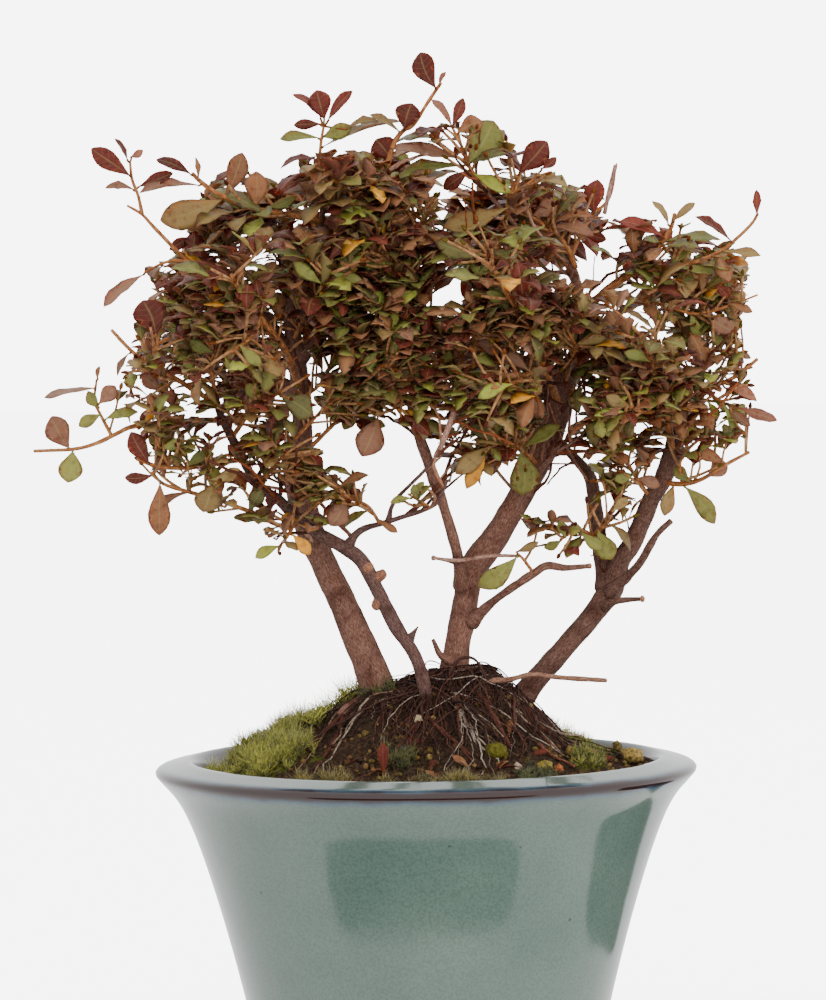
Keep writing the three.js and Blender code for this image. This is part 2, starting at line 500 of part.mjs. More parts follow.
// The nearest point of the mound that the drawing shows at x, y.
function onGround(x, y, lift) {
  let far = SEARCH.near;
  while (far < SEARCH.far && seen(x, y, far).z > groundAt(seen(x, y, far).x, far)) far += SEARCH.step;
  let near = far - SEARCH.step;
  for (let i = 0; i < SEARCH.halvings; i++) {
    const middle = (near + far) / 2;
    const p = seen(x, y, middle);
    if (p.z > groundAt(p.x, middle)) near = middle;
    else far = middle;
  }
  return seen(x, y, near).addScaledVector(UP, lift);
}

function solidOf(geometry) {
  const bare = geometry.clone();
  bare.deleteAttribute("normal");
  bare.deleteAttribute("uv");
  const merged = mergeVertices(bare, 1e-4);
  const mesh = new wasm.Mesh({
    numProp: 3,
    vertProperties: new Float32Array(merged.attributes.position.array),
    triVerts: new Uint32Array(merged.index.array),
  });
  return new wasm.Manifold(mesh);
}

function largestOf(solid) {
  const pieces = solid.simplify(SLIVER).decompose();
  solid.delete();
  return pieces.reduce((a, b) => (b.volume() > a.volume() ? b : a));
}

// One solid from pieces that cross, without any scrap that hangs loose.
function joined(pieces) {
  const whole = wasm.Manifold.union(pieces);
  pieces.forEach((piece) => piece.delete());
  return largestOf(whole);
}

function cut(solid, tool) {
  const rest = solid.subtract(tool);
  solid.delete();
  return rest;
}

function boxOf(solid) {
  const { min, max } = solid.boundingBox();
  return new THREE.Box3(new THREE.Vector3(...min), new THREE.Vector3(...max));
}

function geometryOf(points, faces) {
  const geometry = new THREE.BufferGeometry();
  geometry.setAttribute(
    "position",
    new THREE.Float32BufferAttribute(points.flatMap((p) => [p.x, p.y, p.z]), 3),
  );
  geometry.setIndex(faces.flat());
  return geometry;
}

// A closed tube through stations of a centre and a radius, in one frame that doesn't twist.
function tube(stations, sides, grow = 0) {
  const last = stations.length - 1;
  const ways = stations.map((_, i) =>
    stations[Math.min(i + 1, last)].at.clone().sub(stations[Math.max(i - 1, 0)].at).normalize(),
  );
  const points = [];
  const faces = [];
  let side = new THREE.Vector3().crossVectors(ways[0], SIGHT);
  stations.forEach(({ at, r }, i) => {
    const centre = at.clone();
    if (i === 0) centre.addScaledVector(ways[0], -grow);
    if (i === last) centre.addScaledVector(ways[last], grow);
    side = side.addScaledVector(ways[i], -side.dot(ways[i])).normalize();
    const other = new THREE.Vector3().crossVectors(ways[i], side);
    for (let k = 0; k < sides; k++) {
      const turn = (2 * Math.PI * k) / sides;
      points.push(
        centre
          .clone()
          .addScaledVector(side, Math.cos(turn) * (r + grow))
          .addScaledVector(other, Math.sin(turn) * (r + grow)),
      );
    }
    if (i === 0) return;
    for (let k = 0; k < sides; k++) {
      const a = (i - 1) * sides + k;
      const b = (i - 1) * sides + ((k + 1) % sides);
      faces.push([a, b, b + sides], [a, b + sides, a + sides]);
    }
  });
  for (let k = 1; k < sides - 1; k++) {
    faces.push([0, k + 1, k]);
    faces.push([last * sides, last * sides + k, last * sides + k + 1]);
  }
  return solidOf(geometryOf(points, faces));
}

// A leaf blade: six outline points round a rib that stands proud of both faces, split alike.
function blade(foot, tip, face, width, grow = 0) {
  const way = tip.clone().sub(foot);
  const length = way.length() + 2 * grow;
  way.normalize();
  const side = new THREE.Vector3().crossVectors(face, way).normalize();
  const normal = new THREE.Vector3().crossVectors(way, side);
  const half = width / 2 + grow;
  const rise = LEAF.thick / 2 + grow;
  const place = (along, across, height) =>
    foot
      .clone()
      .addScaledVector(way, along * length - grow)
      .addScaledVector(side, across * half)
      .addScaledVector(
        normal,
        height + LEAF.keel * half * Math.abs(across) - LEAF.arch * length * along * along,
      );
  const outline = [[0, 0], [0.36, 0.8], [0.7, 0.95], [1, 0], [0.7, -0.95], [0.36, -0.8]];
  const points = outline.map(([along, across]) => place(along, across, 0));
  points.push(place(0.5, 0, rise), place(0.5, 0, -rise));
  const faces = outline.flatMap((_, i) => {
    const beside = (i + 1) % outline.length;
    return [[i, 6, beside], [beside, 7, i]];
  });
  return solidOf(geometryOf(points, faces));
}

const stationsOf = (limb) =>
  limb.map(([x, y, depth, width]) => ({
    at: seen(x, y, depth),
    r: width / 2 / GRID.perMm,
  }));

const limbSides = ([[, , , width]]) => (width >= STOUT_LIMB ? 4 : 3);

function rootStations([, width, start, ...places]) {
  const r = width / 2 / GRID.perMm;
  const outside = places.map(([x, y], i) => ({
    at: onGround(x, y, r + ROOT_LIFT),
    r: r * (1 - ROOT_TAPER * i),
  }));
  return [{ at: seen(...start), r }, ...outside];
}

// One trunk with its limbs and surface roots, grown as one piece.
function woodOf(name, grow = 0) {
  const { sides, limbs } = TRUNKS[name];
  const pieces = limbs.map((limb, i) => tube(stationsOf(limb), i ? limbSides(limb) : sides, grow));
  const roots = ROOTS.filter(([trunk]) => trunk === name);
  roots.forEach((root) => pieces.push(tube(rootStations(root), 3, grow)));
  return joined(pieces);
}

// Every piece that is already placed, so that the next one keeps clear of it.
const placed = [];

const beside = (solid, exempt) => {
  const box = boxOf(solid);
  return placed.filter((other) => other.name !== exempt && other.box.intersectsBox(box));
};

// Whether a trial shape reaches into a neighbour. The shape isn't needed afterwards.
function crosses(shape, exempt) {
  const hit = beside(shape, exempt).some(({ solid }) => {
    const common = shape.intersect(solid);
    const reaches = !common.isEmpty();
    common.delete();
    return reaches;
  });
  shape.delete();
  return hit;
}

// The nearest place on a spray's twigs to a point of the drawing.
function nearestTwig(twigs, x, y) {
  let best = { gap: Infinity };
  twigs.forEach(([, ...points]) =>
    points.slice(1).forEach(([bx, by, bd], i) => {
      const [ax, ay, ad] = points[i];
      const along = ((x - ax) * (bx - ax) + (y - ay) * (by - ay)) / ((bx - ax) ** 2 + (by - ay) ** 2);
      const t = THREE.MathUtils.clamp(along, 0, 1);
      const [nx, ny, nd] = [ax + (bx - ax) * t, ay + (by - ay) * t, ad + (bd - ad) * t];
      const gap = Math.hypot(nx - x, ny - y);
      if (gap < best.gap) best = { gap, at: seen(nx, ny, nd), depth: nd };
    }),
  );
  return best;
}

// The leaves drawn one by one: each blade is turned until it looks as wide as it is drawn.
function drawnLeaves(twigs, leaves, next) {
  return leaves.map(([x0, y0, x1, y1, seenWidth]) => {
    const twig = nearestTwig(twigs, x0, y0);
    const depth = shaken(twig.depth - DRAWN_LEAF.before, DRAWN_LEAF.depthShake, next);
    const reach = Math.hypot(x1 - x0, y1 - y0) / GRID.perMm;
    const foot = seen(x0, y0, depth);
    const tip = seen(x1, y1, shaken(depth, DRAWN_LEAF.tipShake * reach, next));
    const width = Math.max(seenWidth / GRID.perMm, LEAF.aspect * reach);
    const turn = Math.acos(seenWidth / GRID.perMm / width);
    const way = tip.clone().sub(foot).normalize();
    const face = SIGHT.clone().negate();
    face.addScaledVector(way, -face.dot(way)).normalize();
    const upwards = way.x > 0 ? -1 : 1;
    return { foot, tip, width, face: face.applyAxisAngle(way, upwards * turn), from: twig.at };
  });
}

// Side shoots by rule: each has a whorl of leaves at its tip and two lower down.
function ruledShoots(twigs, count, next) {
  const path = twigs.flatMap(([, ...points]) => {
    const at = points.map(([x, y, depth]) => seen(x, y, depth));
    return at.slice(1).map((end, i) => ({ start: at[i], end, length: end.distanceTo(at[i]) }));
  });
  const total = path.reduce((sum, piece) => sum + piece.length, 0);
  return Array.from({ length: count }, (_, k) => {
    const step = (k + SHOOT.inStep + SHOOT.stepShake * next()) / count;
    let left = total * Math.min(SHOOT.last, SHOOT.first + (1 - SHOOT.first) * step);
    const piece = path.find((p) => (left -= p.length) <= 0) ?? path[path.length - 1];
    const root = piece.end.clone().lerp(piece.start, THREE.MathUtils.clamp(-left / piece.length, 0, 1));
    const along = piece.end.clone().sub(piece.start).normalize();
    const aside = new THREE.Vector3().crossVectors(along, SIGHT).normalize();
    aside.applyAxisAngle(along, GOLDEN_ANGLE * k + SHOOT.turnShake * next());
    const lean = between(SHOOT.lean, next());
    const way = along
      .clone()
      .multiplyScalar(Math.cos(lean))
      .addScaledVector(aside, Math.sin(lean))
      .addScaledVector(UP, SHOOT.lift)
      .normalize();
    const end = root.clone().addScaledVector(way, between(SHOOT.lengthMm, next()));
    const number = Math.floor(between([WHORL.least, WHORL.most + 0.99], next()));
    const ring = new THREE.Vector3().crossVectors(way, UP).normalize();
    const leaves = Array.from({ length: WHORL.most + STEM_LEAVES.count }, (__, j) => {
      const inWhorl = j < WHORL.most;
      const group = inWhorl ? WHORL : STEM_LEAVES;
      const turn = inWhorl ? (2 * Math.PI * j) / number : GOLDEN_ANGLE * j;
      const out = ring.clone().applyAxisAngle(way, shaken(turn, WHORL.turnShake, next));
      const spread = shaken(group.spread, group.spreadShake, next);
      const point = way.clone().multiplyScalar(Math.cos(spread)).addScaledVector(out, Math.sin(spread));
      point.addScaledVector(UP, LEAF.lift).normalize();
      const reach = between(LEAF.lengthMm, next()) * group.size;
      const back = inWhorl ? WHORL.step * j : STEM_LEAVES.from - STEM_LEAVES.step * (j - WHORL.most);
      const foot = end.clone().lerp(root, back);
      const face = UP.clone().addScaledVector(way, FACE.along);
      face.addScaledVector(ring, shaken(0, FACE.rollShake, next));
      face.addScaledVector(SIGHT, -FACE.frontShake * next());
      face.addScaledVector(point, -face.dot(point)).normalize();
      const tip = foot.clone().addScaledVector(point, reach);
      const width = reach * shaken(LEAF.aspect, LEAF.aspectShake, next);
      return { foot, tip, width, face, from: foot, inWhorl, j };
    }).filter(({ inWhorl, j }) => !inWhorl || j < number);
    return { root, end, leaves };
  });
}

// Bends a blade clear of what is already placed, or gives nothing where no bend is enough.
function clearLeaf(leaf, exempt) {
  const bent = BENDS.map((bend) => {
    const tip = leaf.tip.clone().sub(leaf.foot).applyAxisAngle(UP, bend).add(leaf.foot);
    return { ...leaf, tip, face: leaf.face.clone().applyAxisAngle(UP, bend) };
  });
  return bent.find(({ foot, tip, face, width }) => !crosses(blade(foot, tip, face, width, GAP), exempt));
}

// A leaf near its stem starts in the stem's middle. One that stands off has a stalk.
function leafSolids({ foot, tip, face, width, from }) {
  const way = tip.clone().sub(foot).normalize();
  if (foot.distanceTo(from) < STALK_FROM) {
    return [blade(from.clone().addScaledVector(way, FOOT_FROM_AXIS), tip, face, width)];
  }
  const inBlade = foot.clone().addScaledVector(way, 2 * PETIOLE_R);
  const stalk = [{ at: from, r: PETIOLE_R }, { at: inBlade, r: PETIOLE_R }];
  return [blade(foot, tip, face, width), tube(stalk, 3)];
}

// The shoots that the solid keeps: an even share of those inside the crown.
function keptShoots(twigs, count, next) {
  const open = ruledShoots(twigs, count, next).filter(({ end }) => insideCrown(end));
  const step = open.length / Math.max(1, Math.round(open.length * SOLID_SHOOTS));
  return open.filter((_, k) => Math.floor((k + 1) / step) > Math.floor(k / step));
}

function shootSolids(shoot, trunk) {
  const stem = [{ at: shoot.root, r: SHOOT.rootR }, { at: shoot.end.clone(), r: SHOOT.tipR }];
  pastEnd(stem);
  if (crosses(tube(stem, 3, GAP), trunk)) return [];
  const leaves = shoot.leaves
    .slice(0, SOLID_WHORL)
    .filter(({ tip }) => insideCrown(tip))
    .map((leaf) => clearLeaf(leaf, trunk))
    .filter((leaf) => leaf);
  return [tube(stem, 3), ...leaves.flatMap((leaf) => leafSolids(leaf))];
}

function pastEnd(stations) {
  const [before, last] = stations.slice(-2);
  last.at.addScaledVector(last.at.clone().sub(before.at).normalize(), STEM_END);
  return stations;
}

// One leafy spray, cut back from its limb by the gap.
function sprayOf([, trunk, seed, count, twigs, leaves], limbs) {
  const next = numbers(seed);
  const pieces = twigs.map(([width, ...points]) => {
    const taper = (i) => 1 - (TWIG_TAPER * i) / (points.length - 1);
    const stations = points.map(([x, y, depth], i) => ({
      at: seen(x, y, depth),
      r: (width / 2 / GRID.perMm) * taper(i),
    }));
    return tube(pastEnd(stations), width > STOUT_TWIG ? 4 : 3);
  });
  drawnLeaves(twigs, leaves, next).forEach((leaf) => {
    const clear = clearLeaf(leaf, trunk);
    if (clear) pieces.push(...leafSolids(clear));
  });
  keptShoots(twigs, count, next).forEach((shoot) => pieces.push(...shootSolids(shoot, trunk)));
  let spray = cut(joined(pieces), limbs[trunk]);
  beside(spray, trunk).forEach(({ solid }) => (spray = cut(spray, solid)));
  return largestOf(spray);
}

function lathe(profile, sides) {
  return solidOf(
    new THREE.LatheGeometry(
      profile.map(([r, z]) => new THREE.Vector2(r, z)),
      sides,
    ).rotateX(Math.PI / 2),
  );
}

function disc(r, sides, low, high) {
  const cylinder = new THREE.CylinderGeometry(r, r, high - low, sides).rotateX(Math.PI / 2);
  return solidOf(cylinder.translate(0, 0, (low + high) / 2));
}

// The pot: a lathe-turned wall and floor, with drain holes and channels across its foot.
function potSolid() {
  const profile = [[0, 0], ...POT_OUTSIDE, ...POT_INSIDE, [FLOOR_R, FLOOR_Z], [0, FLOOR_Z]];
  let pot = lathe(profile, POT_SIDES);
  for (let i = 0; i < DRAIN.count; i++) {
    const turn = (2 * Math.PI * i) / DRAIN.count + Math.PI / 2;
    const at = [Math.cos(turn) * DRAIN.at, Math.sin(turn) * DRAIN.at];
    const hole = disc(DRAIN.r, DRAIN.sides, -1, FLOOR_Z + 1).translate([...at, 0]);
    const channel = new THREE.BoxGeometry(FOOT_R, CHANNEL.wide, 2 * CHANNEL.deep);
    channel.translate(FOOT_R / 2 + DRAIN.at, 0, 0).rotateZ(turn);
    pot = pot.subtract(hole).subtract(solidOf(channel));
  }
  return pot;
}

// The soil: its mound on a polar grid, then down the wall of the pot to its floor.
function soilSolid() {
  const { sides, rings, topR, floorR } = SOIL;
  const points = [new THREE.Vector3(0, 0, groundAt(0, 0))];
  const ring = (r, height) => {
    for (let k = 0; k < sides; k++) {
      const turn = (2 * Math.PI * k) / sides;
      const x = r * Math.cos(turn);
      const y = r * Math.sin(turn);
      points.push(new THREE.Vector3(x, y, height ?? groundAt(x, y)));
    }
  };
  for (let i = 1; i <= rings; i++) ring((topR * i) / rings);
  const wall = POT_INSIDE.filter(([, z]) => z < RIM_Z + SOIL.leftEdge - 2);
  wall.forEach(([r, z]) => ring(r * Math.cos(Math.PI / POT_SIDES) - GAP, z));
  ring(floorR, FLOOR_Z + GAP);
  const bands = (points.length - 1) / sides;
  const faces = [];
  for (let k = 0; k < sides; k++) {
    const beside = (k + 1) % sides;
    faces.push([0, 1 + k, 1 + beside]);
    for (let i = 1; i < bands; i++) {
      const a = 1 + (i - 1) * sides;
      faces.push([a + k, a + sides + k, a + sides + beside], [a + k, a + sides + beside, a + beside]);
    }
    const low = 1 + (bands - 1) * sides;
    if (k > 0 && k < sides - 1) faces.push([low, low + k + 1, low + k]);
  }
  return solidOf(geometryOf(points, faces));
}

function pebble(at, r) {
  return solidOf(new THREE.IcosahedronGeometry(r, 0).translate(...at.toArray()));
}

const COLORS = {
  pot: { color: 0x7f9789, roughness: 0.12 },
  soil: { color: 0x2a1c18, roughness: 0.95 },
  bark: { color: 0x7d5c4e, roughness: 0.85 },
  green: { color: 0x5f7434, roughness: 0.55 },
  red: { color: 0x6b2f2f, roughness: 0.5 },
  screen: { color: 0x1d1f1e, roughness: 0.6 },
};

const azalea = new THREE.Group();

function keep(name, solid, look) {
  placed.push({ name, solid, box: boxOf(solid) });
  const { vertProperties, triVerts, numProp } = solid.getMesh();
  const geometry = new THREE.BufferGeometry();
  geometry.setAttribute("position", new THREE.BufferAttribute(new Float32Array(vertProperties), numProp));
  geometry.setIndex(new THREE.BufferAttribute(new Uint32Array(triVerts), 1));
  geometry.computeVertexNormals();
  const mesh = new THREE.Mesh(geometry, new THREE.MeshStandardMaterial(COLORS[look]));
  mesh.name = name;
  azalea.add(mesh);
}

// A disc of plastic mesh that lies over the drain holes.
const screen = disc(SCREEN.r, SCREEN.sides, FLOOR_Z + GAP, FLOOR_Z + GAP + SCREEN.thick);
const screenRoom = disc(SCREEN.r + GAP, SCREEN.sides, FLOOR_Z, FLOOR_Z + 2 * GAP + SCREEN.thick);
const grownWood = Object.fromEntries(Object.keys(TRUNKS).map((name) => [name, woodOf(name, GAP)]));
const stick = (grow) => tube(stationsOf(DEAD_STICK), 5, grow);

keep("pot", potSolid(), "pot");
const pebbles = PEBBLES.map(([x, y, depth, r]) => pebble(seen(x, y, depth), r));
let soil = cut(wasm.Manifold.union([soilSolid(), ...pebbles]), stick(GAP));
Object.values(grownWood).forEach((wood) => (soil = cut(soil, wood)));
keep("drain_screen", screen, "screen");
keep("soil", largestOf(cut(soil, screenRoom)), "soil");
Object.keys(TRUNKS).forEach((name) => keep(name, woodOf(name), "bark"));
keep("dead_stick", stick(0), "bark");
SPRAYS.forEach((spray) => {
  const look = RED_SPRAYS.includes(spray[0]) ? "red" : "green";
  keep(spray[0], sprayOf(spray, grownWood), look);
});

export default azalea;
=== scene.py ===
"""A satsuki azalea bonsai in a flared, glazed pot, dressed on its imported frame."""
import logging
from dataclasses import dataclass, field
from enum import Enum
from functools import partial
from math import pi, radians
from typing import Any, Callable, Iterable, NamedTuple

import bpy
import numpy as np
from mathutils import Matrix, Vector


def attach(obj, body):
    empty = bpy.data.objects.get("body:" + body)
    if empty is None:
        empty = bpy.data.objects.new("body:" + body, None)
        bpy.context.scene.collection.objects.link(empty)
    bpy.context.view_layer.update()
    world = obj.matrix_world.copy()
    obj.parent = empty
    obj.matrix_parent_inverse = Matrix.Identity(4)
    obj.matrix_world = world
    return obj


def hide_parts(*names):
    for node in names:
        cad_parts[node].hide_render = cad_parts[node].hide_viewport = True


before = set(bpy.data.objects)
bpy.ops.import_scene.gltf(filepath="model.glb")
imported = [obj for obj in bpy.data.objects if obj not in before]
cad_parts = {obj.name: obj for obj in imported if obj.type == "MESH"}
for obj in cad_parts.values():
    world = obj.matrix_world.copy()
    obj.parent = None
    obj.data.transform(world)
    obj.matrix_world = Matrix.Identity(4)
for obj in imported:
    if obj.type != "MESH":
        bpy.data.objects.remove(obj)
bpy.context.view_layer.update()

logging.basicConfig(level=logging.INFO, format="%(message)s")
log = logging.getLogger("azalea")

Array = np.ndarray
Pair = tuple[float, float]
Piece = bpy.types.Object
Draws = np.random.Generator
UP = np.array([0.0, 0.0, 1.0])
SIGHT = np.array([0.0, 1.0, 0.0])
GOLDEN_ANGLE = 2.39996
RIM_Z = 111.5


# Small sums on arrays of points, in millimetres.


def unit(vectors: Array) -> Array:
    """Each vector at length one."""
    return vectors / np.maximum(np.linalg.norm(vectors, axis=-1, keepdims=True), 1e-9)


def rotated(vector: Array, axis: Array, angle: float) -> Array:
    """Turns a vector: the part along the axis stays, and the part across it turns."""
    along = axis * np.dot(axis, vector)
    return along + (vector - along) * np.cos(angle) + np.cross(axis, vector) * np.sin(angle)


def turns(count: int) -> Array:
    """Equal turns round a circle, in radians."""
    return 2 * pi * np.arange(count) / count


def abreast(*columns: Any) -> Array:
    """Arrays side by side on a new last axis, each spread to their common shape."""
    return np.stack(np.broadcast_arrays(*columns), axis=-1)


def smoothstep(value: Array, low: float, high: float) -> Array:
    """Rises from 0 at low to 1 at high, flat at both ends."""
    t = np.clip((value - low) / (high - low), 0, 1)
    return t * t * (3 - 2 * t)


def noise(points: Array, size: float, seed: int = 0) -> Array:
    """Smooth noise from -1 to 1.

    Each corner of a lattice has a height hashed from its whole-number place. A point's height
    is the mean of its eight corners, weighted by smoothstep of how near it is to each.

    Args:
        points: Places, one in each row.
        size: Lattice spacing in mm.
        seed: Changes the heights.

    Returns:
        One height for each point.
    """
    scaled = np.asarray(points, float) / size
    cell = np.floor(scaled)
    share = scaled - cell
    share = share * share * (3 - 2 * share)
    cell = cell.astype(np.int64)
    total = np.zeros(scaled.shape[:-1])
    for corner in np.ndindex(2, 2, 2):
        at = cell + np.array(corner)
        mixed = at[..., 0] * 73856093 ^ at[..., 1] * 19349663 ^ at[..., 2] * 83492791 ^ (seed + 1) * 2654435
        mixed = (mixed ^ (mixed >> 13)) * 1274126177 & 0x7FFFFFFF
        mixed = (mixed ^ (mixed >> 15)) * 668265263 & 0x7FFFFFFF
        weight = np.prod(np.where(corner, share, 1 - share), axis=-1)
        total += weight * (mixed / 0x3FFFFFFF - 1)
    return total


def smooth_path(stations: Array, step: float) -> Array:
    """A curve through every station, with a point about every step mm.

    Between two stations it is the cubic that leaves each one parallel to the line that joins
    that station's neighbours.

    Args:
        stations: x, y, z and any other columns, such as a radius, one station in each row.
        step: Spacing of the points in mm.

    Returns:
        The curve's rows, with the same columns.
    """
    around = np.vstack([2 * stations[0] - stations[1], stations, 2 * stations[-1] - stations[-2]])
    lengths = np.linalg.norm(np.diff(stations[:, :3], axis=0), axis=1)
    counts = np.maximum(1, np.ceil(lengths / step)).astype(int)
    part = np.repeat(np.arange(len(counts)), counts)
    t = (np.arange(counts.sum()) - np.repeat(np.cumsum(counts) - counts, counts)) / np.repeat(counts, counts)
    part = np.append(part, len(counts) - 1)
    t = np.append(t, 1.0)[:, None]
    a, b, c, d = (around[part + i] for i in range(4))
    return 0.5 * (2 * b + (c - a) * t + (2 * a - 5 * b + 4 * c - d) * t**2 + (3 * b - a - 3 * c + d) * t**3)


def travelled(line: Array) -> Array:
    """How far along a line each of its points lies."""
    return np.concatenate([[0], np.cumsum(np.linalg.norm(np.diff(line, axis=0), axis=1))])


class Stream:
    """A repeatable stream of numbers from 0 to 1."""

    def __init__(self, seed: int) -> None:
        """Starts the stream."""
        self.state = seed * 48271 % 2147483647

    def draw(self) -> float:
        """The next number."""
        self.state = self.state * 16807 % 2147483647
        return self.state / 2147483647

    def between(self, low: float, high: float) -> float:
        """The next number, from low to high."""
        return low + (high - low) * self.draw()


def linear(code: str) -> tuple[float, float, float, float]:
    """A colour's linear red, green, blue and alpha, from its sRGB hex code."""
    levels = [int(code[i : i + 2], 16) / 255 for i in (1, 3, 5)]
    return (*(v / 12.92 if v <= 0.04045 else ((v + 0.055) / 1.055) ** 2.4 for v in levels), 1.0)


def placed(name: str, data: Any) -> Piece:
    """A new object in the scene that holds this mesh, light or camera."""
    made = bpy.data.objects.new(name, data)
    bpy.context.scene.collection.objects.link(made)
    return made


@dataclass(frozen=True)
class Drawing:
    """The front view: three squares to the millimetre, x to the right and y down."""

    per_mm: float = 3.0
    mid: Pair = (413.0, 500.0)
    turn: float = radians(0.7)
    aim: tuple[float, float, float] = (-3.3, 0.0, 197.2)
    eye: tuple[float, float, float] = (-3.3, -1800.0, 291.5)

    def seen(self, places: Iterable) -> Array:
        """Finds points of the model from the drawing.

        Args:
            places: x and y in the drawing and a depth in mm, one place in each row.

        Returns:
            The points that show there, in mm.
        """
        rows = np.asarray(places, float)
        right = (rows[..., 0] - self.mid[0]) / self.per_mm
        up = (self.mid[1] - rows[..., 1]) / self.per_mm
        cos, sin = np.cos(self.turn), np.sin(self.turn)
        on = abreast(self.aim[0] + cos * right + sin * up, 0, self.aim[2] - sin * right + cos * up)
        ray = on - self.eye
        return self.eye + ray * ((rows[..., 2] - self.eye[1]) / ray[..., 1])[..., None]

    def stations(self, rows: Iterable) -> Array:
        """Points and radii in mm of x, y, depth and width, one station in each row."""
        rows = np.asarray(rows, float)
        return np.column_stack([self.seen(rows[:, :3]), rows[:, 3] / 2 / self.per_mm])

    def drawn(self, points: Array) -> Array:
        """Finds where the drawing shows points of the model.

        Args:
            points: The points in mm.

        Returns:
            x and y in the drawing.
        """
        ray = points - self.eye
        on = self.eye - ray * (self.eye[1] / ray[..., 1])[..., None] - self.aim
        cos, sin = np.cos(self.turn), np.sin(self.turn)
        right = on[..., 0] * cos - on[..., 2] * sin
        up = on[..., 0] * sin + on[..., 2] * cos
        return abreast(self.mid[0] + right * self.per_mm, self.mid[1] - up * self.per_mm)

    def camera(self, frame_mm: float = 333.3, sensor_mm: float = 36.0) -> None:
        """Makes the camera at the eye, looking at the aim, with the drawing's slight turn.

        Args:
            frame_mm: Height of what it shows at the aim.
            sensor_mm: Width of its sensor.
        """
        data = bpy.data.cameras.new("front_camera")
        data.sensor_width = sensor_mm
        away = Vector(self.aim) - Vector(self.eye)
        data.lens = sensor_mm * away.length / frame_mm
        data.clip_end = 20
        camera = placed("front_camera", data)
        facing = away.to_track_quat("-Z", "Y").to_matrix().to_4x4()
        camera.matrix_world = (
            Matrix.Translation(Vector(self.eye) / 1000) @ facing @ Matrix.Rotation(-self.turn, 4, "Z")
        )
        bpy.context.scene.camera = camera


VIEW = Drawing()


# Skins: closed surfaces worked out as arrays.


@dataclass
class Skin:
    """A closed surface in mm: points, faces, a pattern place and a colour at each point."""

    points: Array
    quads: Array
    tris: Array
    pattern: Array
    tint: Array


def together(skins: list[Skin]) -> Skin:
    """One skin that holds all of them."""
    starts = np.cumsum([0] + [len(s.points) for s in skins[:-1]])
    return Skin(
        np.concatenate([s.points for s in skins]),
        np.concatenate([s.quads + start for s, start in zip(skins, starts)]),
        np.concatenate([s.tris + start for s, start in zip(skins, starts)]),
        np.concatenate([s.pattern for s in skins]),
        np.concatenate([s.tint for s in skins]),
    )


def ringed(rings: Array, first: Array, last: Array, pattern: Array, tint: Array) -> Skin:
    """Closed skins from rings of points, each ending in a pole.

    Args:
        rings: Points by skin, ring and place round the ring, which runs from the side towards
            the way of the skin crossed with that side.
        first: Each skin's pole before its first ring.
        last: Each skin's pole after its last ring.
        pattern: A pattern place for each ring point.
        tint: A colour for each skin.

    Returns:
        All the skins as one.
    """
    skins, number, sides, _ = rings.shape
    count = skins * number * sides
    k = np.arange(sides)
    beside = (k + 1) % sides
    start = (np.arange(skins) * number * sides)[:, None, None]
    row = start + (np.arange(number - 1) * sides)[None, :, None]
    quads = abreast(row + k, row + beside, row + sides + beside, row + sides + k).reshape(-1, 4)
    low = start[:, 0] + k
    low_next = start[:, 0] + beside
    high = (number - 1) * sides
    pole = count + np.arange(skins)[:, None]
    ends = abreast(pole, low_next, low), abreast(pole + skins, low + high, low_next + high)
    tris = np.concatenate([end.reshape(-1, 3) for end in ends])
    colours = np.broadcast_to(tint[:, None, None, :], (skins, number, sides, 4)).reshape(-1, 4)
    return Skin(
        np.concatenate([rings.reshape(-1, 3), first, last]),
        quads,
        tris,
        np.concatenate([pattern.reshape(-1, 3), pattern[:, 0].mean(axis=1), pattern[:, -1].mean(axis=1)]),
        np.concatenate([colours, tint, tint]),
    )


def tubes(paths: Array, radii: Array, sides: int, tint: Array) -> Skin:
    """Stems carried along paths.

    A point stands off its path by the radius, round two directions that are square to the path.
    Its pattern place is the same on a straightened stem, so that a grain follows the stem.

    Args:
        paths: Points by stem and station.
        radii: Radii by stem and station, or also by place round the stem.
        sides: Points round a stem.
        tint: A colour for each stem.

    Returns:
        The closed stems.
    """
    way = unit(np.gradient(paths, axis=1))
    least = np.argmin(np.abs(way).max(axis=1), axis=1)
    side = unit(np.cross(way, np.eye(3)[least][:, None, :]))
    other = np.cross(way, side)
    turn = turns(sides)
    reach = radii if radii.ndim == 3 else np.repeat(radii[:, :, None], sides, axis=2)
    across = np.cos(turn)[:, None] * side[:, :, None, :] + np.sin(turn)[:, None] * other[:, :, None, :]
    rings = paths[:, :, None, :] + reach[..., None] * across
    steps = np.linalg.norm(np.diff(paths, axis=1), axis=2)
    along = np.concatenate([np.zeros((len(paths), 1)), np.cumsum(steps, axis=1)], axis=1)
    pattern = abreast(reach * np.cos(turn), reach * np.sin(turn), along[:, :, None])
    first = paths[:, 0] - way[:, 0] * reach[:, 0].mean(axis=1, keepdims=True) * 0.4
    last = paths[:, -1] + way[:, -1] * reach[:, -1].mean(axis=1, keepdims=True) * 0.4
    return ringed(rings, first, last, pattern, tint)


def tinted(codes: Iterable[str]) -> Array:
    """Linear colours of hex codes, one in each row."""
    return np.array([linear(code) for code in codes])


def stem(
    stations: Array, step: float, waver: tuple[float, float, int], sides: int, code: str, stray: float = 0.0
) -> Skin:
    """One stem along a smooth path.

    Args:
        stations: x, y, z and radius in mm, one station in each row.
        step: Spacing of its rings in mm.
        waver: How much its radius wavers, over how many mm, and the noise's seed.
        sides: Points round it.
        code: Its hex colour.
        stray: How far it strays from its path in mm.

    Returns:
        The closed stem.
    """
    path = smooth_path(stations, step)
    at = path[:, :3]
    share, size, seed = waver
    radii = path[:, 3] * (1 + share * noise(at, size, seed))
    if stray:
        at = at + stray * abreast(*(noise(at, 3.0, seed + i) for i in (1, 2, 3)))
    return tubes(at[None], radii[None], sides, tinted([code]))


